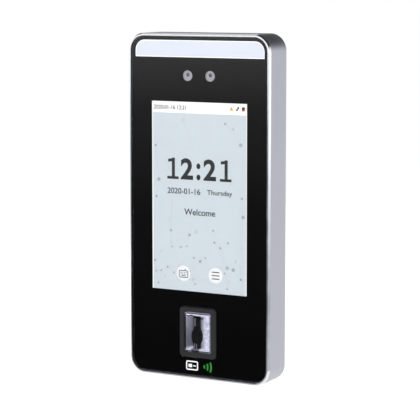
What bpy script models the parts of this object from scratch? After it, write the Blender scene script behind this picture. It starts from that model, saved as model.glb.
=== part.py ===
"""Wall-mounted fingerprint access terminal, as an assembly of separate solids.

The terminal hangs by four hooks on a steel wall bracket, and one screw from below
locks it. X runs along the width, Z up, and the glass faces -Y. The origin lies in
the bracket's rear face, so Y = 0 is the wall.

All sizes are in millimetres; block, rod, turned and strip turn them into metres.
A pair such as (-3, 4) is a piece's lowest and highest place along one axis. Sizes
named HALF_, CAVITY_, GLASS_, LEDGE_, COVER_, BOARD_, BRACKET_, BAY_, TAB_, NOTCH_,
HOOK_ or CABLE_WINDOW_ with W or H are halves, out from the middle.
"""

from math import cos, pi, radians, sin

import bmesh
import bpy
from mathutils import Matrix, Vector

MM = 0.001
GAP = 0.3  # between pieces that touch on the real unit
OVER = 1.0  # how far a cutter runs past what it cuts

# Overall
WIDTH = 92.0
HEIGHT = 201.7
LIP_Y = -21.75  # the frame's front lip
FRAME_REAR = -0.5
CORNER_R = 10.0
CORNER_STEPS = 8
HALF_W = WIDTH / 2
HALF_H = HEIGHT / 2

# Aluminium frame
RIM = 1.85  # from the frame's side to the glass edge
WALL = 2.2
CHAMFER_WIDTH = 0.8
CHAMFER_DEPTH = 1.7
GLASS_FIT = 0.25
LEDGE_OVERLAP = 1.55  # how far the ledge reaches behind the glass
LEDGE_T = 2.2
CAVITY_W = HALF_W - WALL
CAVITY_H = HALF_H - WALL
LUG_R = 5.0
LUG_INSET = 7.3  # cover screw axes, from the frame's sides
MID_LUG_R = 4.6
MID_LUG_INSET = 6.3
PAD_R = 2.8
PAD_INSET = 5.0
PAD_FROM_END = 41.0

# Cover glass and what bonds it
GLASS_T = 1.8
GLASS_SUNK = 0.25  # glass face behind the lip
TAPE_T = 0.5
GLASS_W = HALF_W - RIM
GLASS_H = HALF_H - RIM
GLASS_R = CORNER_R - RIM
GLASS_FRONT = LIP_Y + GLASS_SUNK
GLASS_BACK = GLASS_FRONT + GLASS_T
BEHIND_GLASS = GLASS_BACK + GAP
LEDGE_FRONT = BEHIND_GLASS + TAPE_T + GAP
LEDGE_BACK = LEDGE_FRONT + LEDGE_T
LEDGE_W = GLASS_W - LEDGE_OVERLAP
LEDGE_H = GLASS_H - LEDGE_OVERLAP

# Light bar
BAR_MARGIN = 2.2
BAR_HEIGHT = 9.75
BAR_R = 6.0
BAR_T = 1.4
LED_COUNT = 8
LED_SIZE = (3.0, 0.55, 2.0)
LED_PITCH = 8.8

# Cameras
CAMERA_X = 7.3
CAMERA_Z = GLASS_H - 22.45
BARREL_R = 3.3
BARREL_BASE_R = 4.4
LENS_R = 2.3
LENS_DOME = 0.8

# Screen
SCREEN_W = 62.1
SCREEN_H = 110.4
SCREEN_Z = GLASS_H - 92.7
PANEL_BORDER = 1.7
PANEL_TOP_BORDER = 3.2
PANEL_FOOT = 4.6  # driver edge below the lit area
PANEL_T = 1.0
BACKLIGHT_T = 1.2
PANEL_TOP = SCREEN_Z + SCREEN_H / 2 + PANEL_TOP_BORDER
PANEL_BOTTOM = SCREEN_Z - SCREEN_H / 2 - PANEL_FOOT

# Microphone
MIC_X = GLASS_W - 6.05
MIC_Z = GLASS_H - 56.2
MIC_HOLE_R = 0.6
MIC_R = 2.0

# Fingerprint sensor
SENSOR_Z = 26.2 - GLASS_H
BEZEL_W = 24.0
BEZEL_H = 29.8
BEZEL_R = 3.2
BEZEL_PROUD = 1.0  # bezel face ahead of the glass
BEZEL_FLANGE = 1.2
WINDOW_W = 17.6
WINDOW_H = 23.4
WINDOW_R = 1.2
PLATEN_T = 1.5
GUIDE_WALL = 1.2
SENSOR_BODY_W = 31.0
SENSOR_BODY_H = 34.4

# Inner stack, from the glass to the wall
CARRIER_T = 1.0
ANTENNA_T = 0.6
BOARD_T = 1.6
CARRIER_FRONT = LEDGE_BACK + GAP
CARRIER_BACK = CARRIER_FRONT + CARRIER_T
ANTENNA_FRONT = CARRIER_BACK + GAP
BOARD_FRONT = ANTENNA_FRONT + ANTENNA_T + GAP
BOARD_REAR = BOARD_FRONT + BOARD_T
PARTS_BASE = BOARD_REAR + GAP

# Main board
BOARD_W = 34.5
BOARD_TOP = CAMERA_Z - 10.5
BOARD_BOTTOM = 14.85 - HALF_H
BOARD_SCREW_X = 31.5
TONGUE_X = (13.0, 33.0)  # the strip of board that carries the USB port

# Wall bracket
BRACKET_T = 1.5
BRACKET_W = 35.2
BRACKET_TOP = HALF_H - 10.85
BRACKET_BOTTOM = 18.85 - HALF_H
TAB_W = 8.0
FLANGE_REACH = 10.5
FLANGE_T = 1.5
WALL_SLOT = (4.0, 9.0)  # width and length
WALL_SLOT_X = 22.0
LIFT = 8.0  # how far the terminal rises to leave the hooks

# Hooks
HOOK_X = 24.0
HOOK_W = 3.5
HOOK_NECK = 3.0
HOOK_TONGUE = 5.0
HOOK_T = 1.3
HOOK_BEHIND = 0.5  # from the cover's inner face to the tongue
SLOT_SIDE = 0.75

# Rear cover
COVER_T = 1.6
RIM_SUNK = 0.3  # cover rim behind the frame's rear edge
PAN_GAP = 0.9  # bracket plate to pan floor
PAN_SIDE = 0.8
SKIRT_DEPTH = 7.2
COVER_W = CAVITY_W - GAP
COVER_H = CAVITY_H - GAP
RIM_Y = FRAME_REAR - RIM_SUNK
PAN_Y = -BRACKET_T - PAN_GAP
COVER_IN = PAN_Y - COVER_T
SKIRT_FRONT = RIM_Y - SKIRT_DEPTH
PILLAR_R = 3.6

# Terminal bay, where the wall's cables are joined on
BAY_W = 32.0
BAY_BOTTOM = 20.85 - HALF_H
BAY_TOP = BAY_BOTTOM + 64.0
BAY_WALL = 1.4
CABLE_WINDOW_W = 28.5
CABLE_WINDOW = (BAY_BOTTOM + 6.0, BAY_TOP - 4.0)

# Screws
COVER_SCREW_R = 1.25
COVER_SCREW_HEAD = (2.6, 2.0)  # radius and height
SMALL_SCREW_R = 0.9
SMALL_SCREW_HEAD = (1.8, 1.2)
LOCK_SCREW_R = 1.45
LOCK_SCREW_HEAD = (2.7, 2.2)

# Connectors, in a row from the left
PITCH = 3.5
LEFT_WAYS = 6
RIGHT_WAYS = 4
HEADER_END = 0.8  # housing past the outer pins' half pitch
LEFT_HEADER_X = (-31.0, -31.0 + LEFT_WAYS * PITCH + 2 * HEADER_END)
RIGHT_START = LEFT_HEADER_X[1] + 1.4
RIGHT_HEADER_X = (RIGHT_START, RIGHT_START + RIGHT_WAYS * PITCH + 2 * HEADER_END)
HEADER_TOP = BAY_TOP - 2.0
HEADER_LENGTH = 10.0
HEADER_DEPTH = 8.6
HEADER_WALL = 0.95
PLUG_LENGTH = 13.7
PIN = 1.0
JACK_X = (RIGHT_HEADER_X[1] + 2.9, RIGHT_HEADER_X[1] + 18.9)
JACK_LENGTH = 18.0
JACK_DEPTH = 11.5
JACK_SUNK = 2.8  # how far the jack sits into the board's cut-out
RESET_X = 27.0
RESET_Z = BAY_BOTTOM + 10.0
TAMPER_Z = BOARD_TOP - 16.0

# Underside
NOTCH_W = 9.0
NOTCH_Y = -11.2
USB_X = 22.0
USB_SIZE = (9.0, 3.2)
SPEAKER_W = 17.6
SPEAKER_LENGTH = 10.5
SOUND_GAP = 1.25  # from the frame's lower wall to the speaker
SPEAKER_LEFT = LUG_R + LUG_INSET + GAP - HALF_W  # against the corner lug
SPEAKER_X = (SPEAKER_LEFT, SPEAKER_LEFT + SPEAKER_W)
SPEAKER_Y = (BOARD_FRONT + GAP, SKIRT_FRONT - 0.4)
SPEAKER_Z = (SOUND_GAP - CAVITY_H, SOUND_GAP - CAVITY_H + SPEAKER_LENGTH)
SOUND_SLOTS = 5
SOUND_SLOT_PITCH = 2.8

# Lock: flange, screw and threaded insert on one upright axis
LOCK_Y = -5.6
FLANGE_BOTTOM = 2.95 - HALF_H
NOTCH_TOP = 6.35 - HALF_H
INSERT_R = 2.7
INSERT_Z = (NOTCH_TOP + 0.2, NOTCH_TOP + 3.6)

# Colour (linear), roughness, metallic
LOOKS = {
    "bead_blasted_aluminium": ((0.50, 0.51, 0.54), 0.42, 1.0),
    "black_glass": ((0.012, 0.012, 0.014), 0.05, 0.0),
    "white_diffuser": ((0.80, 0.84, 0.93), 0.35, 0.0),
    "clear_glass": ((0.60, 0.62, 0.70), 0.05, 0.0),
    "screen": ((0.66, 0.73, 0.78), 0.20, 0.0),
    "dark_plastic": ((0.028, 0.028, 0.032), 0.45, 0.0),
    "black_plastic": ((0.016, 0.016, 0.018), 0.55, 0.0),
    "white_plastic": ((0.75, 0.75, 0.80), 0.50, 0.0),
    "green_plastic": ((0.03, 0.24, 0.07), 0.50, 0.0),
    "blue_plastic": ((0.03, 0.10, 0.36), 0.50, 0.0),
    "circuit_board": ((0.012, 0.075, 0.035), 0.45, 0.0),
    "foam_tape": ((0.02, 0.02, 0.02), 0.90, 0.0),
    "rubber": ((0.02, 0.02, 0.02), 0.85, 0.0),
    "ribbon": ((0.52, 0.25, 0.05), 0.40, 0.0),
    "sheet_steel": ((0.47, 0.48, 0.49), 0.38, 1.0),
    "brass": ((0.60, 0.42, 0.16), 0.30, 1.0),
    "screw_steel": ((0.36, 0.36, 0.37), 0.30, 1.0),
}


# --- helpers -----------------------------------------------------------------


def start_scene():
    """Empty the scene and make the two collections and the moving bodies' empties."""
    for obj in list(bpy.data.objects):
        bpy.data.objects.remove(obj, do_unlink=True)
    made = {}
    for name in ("fingerprint_terminal", "cutters"):
        made[name] = bpy.data.collections.new(name)
        bpy.context.scene.collection.children.link(made[name])
    carriage = bpy.data.objects.new("terminal_lift", None)
    made["fingerprint_terminal"].objects.link(carriage)
    return made["fingerprint_terminal"], made["cutters"], carriage


def look_material(look):
    """The Principled material of one look, made on first use."""
    found = bpy.data.materials.get(look)
    if found:
        return found
    colour, roughness, metallic = LOOKS[look]
    made = bpy.data.materials.new(look)
    made.use_nodes = True
    shader = made.node_tree.nodes["Principled BSDF"]
    shader.inputs["Base Color"].default_value = (*colour, 1.0)
    shader.inputs["Roughness"].default_value = roughness
    shader.inputs["Metallic"].default_value = metallic
    made.diffuse_color = (*colour, 1.0)
    return made


def add_object(name, mesh, centre, look):
    """Put a mesh in the scene: a part when it has a look, or else a cutter."""
    obj = bpy.data.objects.new(name, mesh)
    obj.location = Vector(centre) * MM
    if look is None:
        CUTTERS.objects.link(obj)
        obj.hide_render = True
        obj.display_type = "WIRE"
        return obj
    PARTS.objects.link(obj)
    mesh.materials.append(look_material(look))
    return obj


def block(name, x, y, z, look=None, radius=0.0, along="Y", steps=4, top_only=False, chamfer=None):
    """A box between three pairs of places, with its edges along one axis rounded.

    top_only rounds the two upper edges. chamfer is (width, depth): the front face is
    drawn in by the width as it comes forward by the depth.
    """
    spans = [Vector((low, high)) for low, high in (x, y, z)]
    size = Vector([span[1] - span[0] for span in spans]) * MM
    centre = [(span[0] + span[1]) / 2 for span in spans]
    bm = bmesh.new()
    bmesh.ops.create_cube(bm, size=1.0)
    bmesh.ops.scale(bm, vec=size, verts=bm.verts)
    axis = "XYZ".index(along)
    if radius:
        edges = []
        for edge in bm.edges:
            first, last = (vert.co for vert in edge.verts)
            runs_along = abs((last - first).normalized()[axis]) > 0.9
            if runs_along and (not top_only or first.z > 0):
                edges.append(edge)
        bmesh.ops.bevel(
            bm, geom=edges, offset=radius * MM, segments=steps, profile=0.5, affect="EDGES"
        )
    if chamfer:
        front = [face for face in bm.faces if face.normal.y < -0.9]
        bmesh.ops.inset_region(
            bm, faces=front, thickness=chamfer[0] * MM, depth=chamfer[1] * MM, use_even_offset=True
        )
    mesh = bpy.data.meshes.new(name)
    bm.to_mesh(mesh)
    bm.free()
    if radius and look:
        mesh.shade_smooth()
        mesh.set_sharp_from_angle(angle=radians(30))
    return add_object(name, mesh, centre, look)


def rod(name, radius, span, at, look=None, along="Y", steps=16):
    """A cylinder over a span of one axis; at gives its other two places, in XYZ order."""
    turns = {
        "X": Matrix.Rotation(radians(90), 4, "Y"),
        "Y": Matrix.Rotation(radians(-90), 4, "X"),
        "Z": Matrix.Identity(4),
    }
    centre = list(at)
    centre.insert("XYZ".index(along), (span[0] + span[1]) / 2)
    bm = bmesh.new()
    bmesh.ops.create_cone(
        bm,
        cap_ends=True,
        segments=steps,
        radius1=radius * MM,
        radius2=radius * MM,
        depth=(span[1] - span[0]) * MM,
        matrix=turns[along],
    )
    mesh = bpy.data.meshes.new(name)
    bm.to_mesh(mesh)
    bm.free()
    mesh.shade_smooth()
    mesh.set_sharp_from_angle(angle=radians(40))
    return add_object(name, mesh, centre, look)


def turned(name, profile, centre, look=None, facing="front", steps=16):
    """A profile of (radius, height) points, from the top down, turned about its axis.

    Height runs along the way that the piece faces: front is -Y, rear +Y, down -Z.
    """
    mesh = bpy.data.meshes.new(name)
    points = [(radius * MM, 0.0, height * MM) for radius, height in profile]
    mesh.from_pydata(points, [(i, i + 1) for i in range(len(points) - 1)], [])
    obj = add_object(name, mesh, centre, look)
    turn = obj.modifiers.new("turn", "SCREW")
    turn.axis = "Z"
    turn.angle = 2 * pi
    turn.steps = turn.render_steps = steps
    turn.use_merge_vertices = True
    turn.merge_threshold = 0.00001
    turn.use_smooth_shade = False
    obj.rotation_euler = {
        "front": (radians(90), 0, 0),
        "rear": (radians(-90), 0, 0),
        "down": (radians(180), 0, 0),
    }[facing]
    return obj


def strip(name, path, x, thickness, look):
    """A flat strip that follows (y, z) points across a span of x."""
    mesh = bpy.data.meshes.new(name)
    bm = bmesh.new()
    half = (x[1] - x[0]) / 2 * MM
    rows = [[bm.verts.new((side, y * MM, z * MM)) for side in (-half, half)] for y, z in path]
    for above, below in zip(rows, rows[1:]):
        bm.faces.new((above[0], above[1], below[1], below[0]))
    bm.to_mesh(mesh)
    bm.free()
    obj = add_object(name, mesh, ((x[0] + x[1]) / 2, 0, 0), look)
    wall = obj.modifiers.new("thickness", "SOLIDIFY")
    wall.thickness = thickness * MM
    wall.offset = 0.0
    wall.use_even_offset = True
    return obj


def combine(target, operation, tools):
    """Add one Boolean modifier to the target for each tool."""
    for tool in tools:
        step = target.modifiers.new(tool.name, "BOOLEAN")
        step.operation = operation
        step.solver = "EXACT"
        step.object = tool


def cut(target, *tools):
    """Cut the tools out of the target."""
    combine(target, "DIFFERENCE", tools)


def join(target, *tools):
    """Join the tools to the target."""
    combine(target, "UNION", tools)


def repeat(tool, count, step):
    """Repeat a cutter count times, step apart."""
    row = tool.modifiers.new("row", "ARRAY")
    row.count = count
    row.use_relative_offset = False
    row.use_constant_offset = True
    row.constant_offset_displace = Vector(step) * MM
    row.use_merge_vertices = False
    return tool


def centred(middle, width):
    """The pair of places a width apart about a middle."""
    return (middle - width / 2, middle + width / 2)


def cover_screw_places():
    """(x, z, lug radius) of the six rear cover screws: four corners and two sides."""
    corner_x, corner_z = HALF_W - LUG_INSET, HALF_H - LUG_INSET
    corners = [(sx * corner_x, sz * corner_z, LUG_R) for sx in (-1, 1) for sz in (-1, 1)]
    return corners + [(sx * (HALF_W - MID_LUG_INSET), 0.0, MID_LUG_R) for sx in (-1, 1)]


def pad_places():
    """(x, z) of the four screws that hold the carrier plate to the frame's ledge."""
    return [
        (sx * (HALF_W - PAD_INSET), sz * (HALF_H - PAD_FROM_END)) for sx in (-1, 1) for sz in (-1, 1)
    ]


def board_screw_places():
    """(x, z) of the four main board screws."""
    return [(sx * BOARD_SCREW_X, z) for sx in (-1, 1) for z in (BOARD_BOTTOM + 2.0, BOARD_TOP - 4.0)]


def hook_necks():
    """(x, lowest z) of each hook's neck: two above the boards and two above the bay."""
    return [(sx * HOOK_X, z) for sx in (-1, 1) for z in (BOARD_TOP + 5.0, BAY_TOP + 12.0)]


# --- frame and glass ---------------------------------------------------------


def build_frame():
    """The aluminium ring: glass seat, ledge, cover lugs, pads and underside openings."""
    frame = block(
        "housing_frame",
        (-HALF_W, HALF_W),
        (LIP_Y + CHAMFER_DEPTH, FRAME_REAR),
        (-HALF_H, HALF_H),
        "bead_blasted_aluminium",
        radius=CORNER_R,
        steps=CORNER_STEPS,
        chamfer=(CHAMFER_WIDTH, CHAMFER_DEPTH),
    )
    seat_w, seat_h = GLASS_W + GLASS_FIT, GLASS_H + GLASS_FIT
    hollows = (
        ("frame_seat", seat_w, seat_h, GLASS_R + GLASS_FIT, LIP_Y - OVER, LEDGE_FRONT),
        ("frame_ledge_hole", LEDGE_W, LEDGE_H, GLASS_R - LEDGE_OVERLAP, LIP_Y, LEDGE_BACK + OVER),
        ("frame_cavity", CAVITY_W, CAVITY_H, CORNER_R - WALL, LEDGE_BACK, FRAME_REAR + OVER),
    )
    for name, half_w, half_h, radius, front, rear in hollows:
        hollow = block(
            name, (-half_w, half_w), (front, rear), (-half_h, half_h), radius=radius, steps=CORNER_STEPS
        )
        cut(frame, hollow)
    lug_front = LEDGE_BACK - 0.5
    for number, (x, z, radius) in enumerate(cover_screw_places(), 1):
        join(frame, rod(f"lug_{number}", radius, (lug_front, SKIRT_FRONT - GAP), (x, z), steps=12))
        hole_r = COVER_SCREW_R + GAP
        cut(frame, rod(f"lug_hole_{number}", hole_r, (LEDGE_BACK + 1.4, 0.0), (x, z), steps=10))
    for number, (x, z) in enumerate(pad_places(), 1):
        join(frame, rod(f"pad_{number}", PAD_R, (LEDGE_FRONT, LEDGE_BACK), (x, z), steps=12))
        hole_r = SMALL_SCREW_R + GAP
        cut(frame, rod(f"pad_hole_{number}", hole_r, (LEDGE_FRONT + 0.6, 0.0), (x, z), steps=8))
    cut_underside(frame)
    return frame


def cut_underside(frame):
    """Open the frame's lower wall for the lock flange, the USB port and the speaker."""
    wall = (-HALF_H - OVER, -CAVITY_H + OVER)
    notch = block("frame_notch", (-NOTCH_W, NOTCH_W), (NOTCH_Y, FRAME_REAR + OVER), wall)
    usb = block(
        "frame_usb_hole",
        centred(USB_X, USB_SIZE[0] + 4 * GAP),
        (PARTS_BASE - GAP, PARTS_BASE + USB_SIZE[1] + GAP),
        wall,
        radius=1.5,
        along="Z",
    )
    first_slot = sum(SPEAKER_X) / 2 - SOUND_SLOT_PITCH * (SOUND_SLOTS - 1) / 2
    slot = block(
        "frame_sound_slot",
        centred(first_slot, 1.4),
        (SPEAKER_Y[0] + 0.5, SPEAKER_Y[1] - 0.5),
        wall,
        radius=0.65,
        along="Z",
    )
    cut(frame, notch, usb, repeat(slot, SOUND_SLOTS, (SOUND_SLOT_PITCH, 0, 0)))


def build_glass():
    """The cover glass, with the sensor's hole and the microphone's, and its tape."""
    glass = block(
        "front_glass",
        (-GLASS_W, GLASS_W),
        (GLASS_FRONT, GLASS_BACK),
        (-GLASS_H, GLASS_H),
        "black_glass",
        radius=GLASS_R,
        steps=CORNER_STEPS,
    )
    through = (GLASS_FRONT - OVER, GLASS_BACK + OVER)
    sensor_hole = block(
        "glass_sensor_hole",
        centred(0, BEZEL_W + 2 * GAP),
        through,
        centred(SENSOR_Z, BEZEL_H + 2 * GAP),
        radius=BEZEL_R + GAP,
        steps=6,
    )
    cut(glass, sensor_hole, rod("glass_mic_hole", MIC_HOLE_R, through, (MIC_X, MIC_Z), steps=12))

    outer_w, outer_h = GLASS_W - GLASS_FIT, GLASS_H - GLASS_FIT
    tape_y = (BEHIND_GLASS, BEHIND_GLASS + TAPE_T)
    tape = block(
        "glass_tape", (-outer_w, outer_w), tape_y, (-outer_h, outer_h), "foam_tape", radius=GLASS_R
    )
    opening = block(
        "tape_opening",
        (-LEDGE_W, LEDGE_W),
        (tape_y[0] - OVER, tape_y[1] + OVER),
        (-LEDGE_H, LEDGE_H),
        radius=GLASS_R - LEDGE_OVERLAP,
    )
    cut(tape, opening)


def build_light_bar():
    """The white bar behind the glass's top edge, and its strip of lamps."""
    half = GLASS_W - BAR_MARGIN
    top = GLASS_H - BAR_MARGIN
    back = BEHIND_GLASS + BAR_T
    block(
        "light_diffuser",
        (-half, half),
        (BEHIND_GLASS, back),
        (top - BAR_HEIGHT, top),
        "white_diffuser",
        radius=BAR_R,
        steps=CORNER_STEPS,
        top_only=True,
    )
    middle = top - BAR_HEIGHT / 2
    board_front = CARRIER_FRONT - 1.1
    between_lugs = HALF_W - LUG_INSET - LUG_R - 2 * GAP
    board = block(
        "light_board",
        (-between_lugs, between_lugs),
        (board_front, CARRIER_FRONT - GAP),
        centred(middle, 7.0),
        "white_plastic",
    )
    led = block(
        "led",
        centred(-LED_PITCH * (LED_COUNT - 1) / 2, LED_SIZE[0]),
        (board_front - LED_SIZE[1] + 0.05, board_front + 0.1),
        centred(middle, LED_SIZE[2]),
    )
    join(board, repeat(led, LED_COUNT, (LED_PITCH, 0, 0)))


# --- cameras, screen, microphone ---------------------------------------------


def build_cameras():
    """Two lens barrels in their holder, on one small board."""
    holder = block(
        "camera_holder",
        (-13.0, 13.0),
        (BEHIND_GLASS + 1.4, BEHIND_GLASS + 2.6),
        centred(CAMERA_Z, 13.0),
        "black_plastic",
        radius=2.0,
    )
    front = BEHIND_GLASS + 0.2
    step = BEHIND_GLASS + 2.6 + GAP
    back = CARRIER_BACK + GAP
    for side, name in ((-1, "left"), (1, "right")):
        x = side * CAMERA_X
        hole_y = (BEHIND_GLASS, step)
        cut(holder, rod(f"holder_hole_{name}", BARREL_R + GAP, hole_y, (x, CAMERA_Z)))
        floor = front - step + 0.7
        profile = (
            (0.0, floor),
            (LENS_R + GAP, floor),
            (LENS_R + GAP, 0.0),
            (BARREL_R, 0.0),
            (BARREL_R, front - step),
            (BARREL_BASE_R, front - step),
            (BARREL_BASE_R, front - back),
            (0.0, front - back),
        )
        turned(f"camera_barrel_{name}", profile, (x, front, CAMERA_Z), "black_plastic")
        dome = [
            (LENS_R * sin(angle), LENS_DOME * (cos(angle) - 1) - 0.2)
            for angle in (radians(90) * i / 5 for i in range(6))
        ]
        rim = floor + GAP
        turned(
            f"camera_lens_{name}",
            [*dome, (LENS_R, rim), (0.0, rim)],
            (x, front, CAMERA_Z),
            "clear_glass",
        )
    block(
        "camera_board",
        (-12.5, 12.5),
        (back + GAP, back + GAP + 1.0),
        centred(CAMERA_Z, 10.0),
        "circuit_board",
        radius=1.0,
    )
    rear = back + GAP + 1.0 + GAP + 0.15
    strip(
        "camera_ribbon",
        (
            (rear, CAMERA_Z - 3.5),
            (rear, BOARD_TOP + 3.5),
            (PARTS_BASE + 0.15, BOARD_TOP + 1.0),
            (PARTS_BASE + 0.15, BOARD_TOP - 5.0),
        ),
        (-5.0, 5.0),
        0.3,
        "ribbon",
    )


def build_screen():
    """The liquid crystal cell, the backlight tray behind it, and the ribbon."""
    half = SCREEN_W / 2 + PANEL_BORDER
    panel_back = BEHIND_GLASS + PANEL_T
    block(
        "display_panel",
        (-half, half),
        (BEHIND_GLASS, panel_back),
        (PANEL_BOTTOM, PANEL_TOP),
        "screen",
        radius=0.5,
        steps=2,
    )
    tray = (panel_back + GAP, panel_back + GAP + BACKLIGHT_T)
    block(
        "display_backlight",
        (-half - 0.4, half + 0.4),
        tray,
        (PANEL_BOTTOM, PANEL_TOP + 0.4),
        "sheet_steel",
        radius=0.8,
        steps=2,
    )
    fold = PANEL_BOTTOM - 1.3
    behind_tray = tray[1] + 0.4
    strip(
        "display_ribbon",
        (
            (panel_back - 0.3, PANEL_BOTTOM - GAP),
            (panel_back - 0.3, fold),
            (behind_tray, fold),
            (behind_tray, PANEL_BOTTOM + 11.5),
            (BOARD_FRONT - 0.45, PANEL_BOTTOM + 13.5),
            (BOARD_FRONT - 0.45, PANEL_BOTTOM + 23.5),
        ),
        (-24.0, -4.0),
        0.3,
        "ribbon",
    )


def build_microphone():
    """A rubber boot behind the pinhole and the microphone in it."""
    boot = rod(
        "microphone_boot", MIC_R + 0.5, (BEHIND_GLASS, BEHIND_GLASS + 1.5), (MIC_X, MIC_Z), "rubber"
    )
    bore = (BEHIND_GLASS - OVER, BEHIND_GLASS + 1.5 + OVER)
    cut(boot, rod("mic_bore", MIC_HOLE_R + 0.2, bore, (MIC_X, MIC_Z), steps=12))
    can = (BEHIND_GLASS + 1.5 + GAP, CARRIER_FRONT - GAP)
    rod("microphone", MIC_R, can, (MIC_X, MIC_Z), "sheet_steel")


# --- fingerprint sensor ------------------------------------------------------


def build_sensor():
    """The optical fingerprint sensor, from its bezel back to its board."""
    face = GLASS_FRONT - BEZEL_PROUD
    flange = (BEHIND_GLASS, BEHIND_GLASS + 0.5)
    bezel = block(
        "fingerprint_bezel",
        centred(0, BEZEL_W),
        (face + 0.6, flange[1]),
        centred(SENSOR_Z, BEZEL_H),
        "dark_plastic",
        radius=BEZEL_R,
        steps=6,
        chamfer=(0.6, 0.6),
    )
    foot = block(
        "bezel_flange",
        centred(0, BEZEL_W + 2 * BEZEL_FLANGE),
        flange,
        centred(SENSOR_Z, BEZEL_H + 2 * BEZEL_FLANGE),
        radius=BEZEL_R,
    )
    opening = block(
        "bezel_opening",
        centred(0, WINDOW_W),
        (face - OVER, flange[1] + OVER),
        centred(SENSOR_Z, WINDOW_H),
        radius=WINDOW_R,
    )
    join(bezel, foot)
    cut(bezel, opening)

    inner_w, inner_h = WINDOW_W - 2 * GAP, WINDOW_H - 2 * GAP
    platen_y = (face + 0.5, face + 0.5 + PLATEN_T)
    block(
        "fingerprint_platen",
        centred(0, inner_w),
        platen_y,
        centred(SENSOR_Z, inner_h),
        "clear_glass",
        radius=WINDOW_R - GAP,
        steps=3,
    )
    body_front = flange[1] + GAP
    body_back = CARRIER_BACK - GAP
    pocket_floor = body_back - 0.7
    guide_y = (platen_y[1] + GAP, pocket_floor - GAP)
    guide = block(
        "fingerprint_light_guide",
        centred(0, inner_w),
        guide_y,
        centred(SENSOR_Z, inner_h),
        "white_plastic",
        radius=WINDOW_R - GAP,
        steps=3,
    )
    light_well = block(
        "guide_well",
        centred(0, inner_w - 2 * GUIDE_WALL),
        (guide_y[0] - OVER, guide_y[1] + OVER),
        centred(SENSOR_Z, inner_h - 2 * GUIDE_WALL),
    )
    cut(guide, light_well)
    core = block(
        "fingerprint_lens_block",
        centred(0, 5.4),
        (body_front + 0.3, guide_y[1]),
        centred(SENSOR_Z, 17.0),
        "black_plastic",
        radius=1.2,
    )
    join(core, rod("core_eye", 3.8, (body_front - 0.2, guide_y[1]), (0, SENSOR_Z)))

    body = block(
        "fingerprint_body",
        centred(0, SENSOR_BODY_W),
        (body_front, body_back),
        centred(SENSOR_Z, SENSOR_BODY_H),
        "black_plastic",
        radius=1.5,
    )
    pocket = block(
        "body_pocket",
        centred(0, WINDOW_W + 1.4),
        (body_front - OVER, pocket_floor),
        centred(SENSOR_Z, WINDOW_H + 1.6),
        radius=1.0,
    )
    cut(body, pocket)
    block(
        "fingerprint_board",
        centred(0, SENSOR_BODY_W - 1.0),
        (body_back + GAP, body_back + GAP + 0.8),
        centred(SENSOR_Z, SENSOR_BODY_H - 1.0),
        "circuit_board",
    )


# --- carrier and boards ------------------------------------------------------


def build_carrier():
    """The plate that holds screen, sensor and boards, and its four screws."""
    plate_y = (CARRIER_FRONT, CARRIER_BACK)
    through = (CARRIER_FRONT - OVER, CARRIER_BACK + OVER)
    half_w, half_h = CAVITY_W - 0.4, CAVITY_H - 0.4
    plate = block(
        "carrier_plate",
        (-half_w, half_w),
        plate_y,
        (-half_h, half_h),
        "sheet_steel",
        radius=CORNER_R - WALL,
    )
    for number, (x, z) in enumerate(board_screw_places(), 1):
        post = (CARRIER_FRONT + 0.2, BOARD_FRONT - GAP)
        join(plate, rod(f"post_{number}", 2.3, post, (x, z), steps=12))
        bore = (CARRIER_FRONT - OVER, BOARD_FRONT)
        cut(plate, rod(f"post_bore_{number}", SMALL_SCREW_R + GAP, bore, (x, z), steps=10))
    windows = (
        block("carrier_camera_window", (-13.0, 13.0), through, centred(CAMERA_Z, 11.0), radius=1.5),
        block(
            "carrier_sensor_window",
            centred(0, SENSOR_BODY_W + 1.6),
            through,
            centred(SENSOR_Z, SENSOR_BODY_H + 1.6),
        ),
        block(
            "carrier_ribbon_slot",
            (-25.0, -3.0),
            through,
            (PANEL_BOTTOM + 10.0, PANEL_BOTTOM + 16.0),
        ),
    )
    cut(plate, *windows)
    for number, (x, z, radius) in enumerate(cover_screw_places(), 1):
        cut(plate, rod(f"carrier_lug_notch_{number}", radius + 0.5, through, (x, z), steps=12))
    for number, (x, z) in enumerate(pad_places(), 1):
        hole = rod(f"carrier_hole_{number}", SMALL_SCREW_R + GAP, through, (x, z), steps=10)
        cut(plate, hole)
        small_screw(f"carrier_screw_{number}", (x, CARRIER_BACK + GAP, z), 2.7)


def small_screw(name, seat, length):
    """A pan-head screw facing the wall, with a cross slot; seat is under its head."""
    head_r, head_h = SMALL_SCREW_HEAD
    profile = (
        (0.0, head_h),
        (head_r - 0.4, head_h),
        (head_r, head_h - 0.4),
        (head_r, 0.0),
        (SMALL_SCREW_R, 0.0),
        (SMALL_SCREW_R, -length),
        (0.0, -length),
    )
    screw = turned(name, profile, seat, "screw_steel", facing="rear", steps=12)
    recess = (seat[1] + head_h - 0.6, seat[1] + head_h + OVER)
    for across, (wide, tall) in (("flat", (2.0, 0.5)), ("upright", (0.5, 2.0))):
        bar = block(f"{name}_{across}", centred(seat[0], wide), recess, centred(seat[2], tall))
        cut(screw, bar)


def build_antenna():
    """The card reader's loop, on a thin board round the sensor."""
    outer = block(
        "antenna_board",
        (-28.5, 28.5),
        (ANTENNA_FRONT, ANTENNA_FRONT + ANTENNA_T),
        centred(SENSOR_Z + 2.8, 48.0),
        "circuit_board",
        radius=3.0,
    )
    hole = block(
        "antenna_hole",
        centred(0, SENSOR_BODY_W + 3.0),
        (ANTENNA_FRONT - OVER, ANTENNA_FRONT + ANTENNA_T + OVER),
        centred(SENSOR_Z, SENSOR_BODY_H + 3.0),
    )
    cut(outer, hole)


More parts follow.
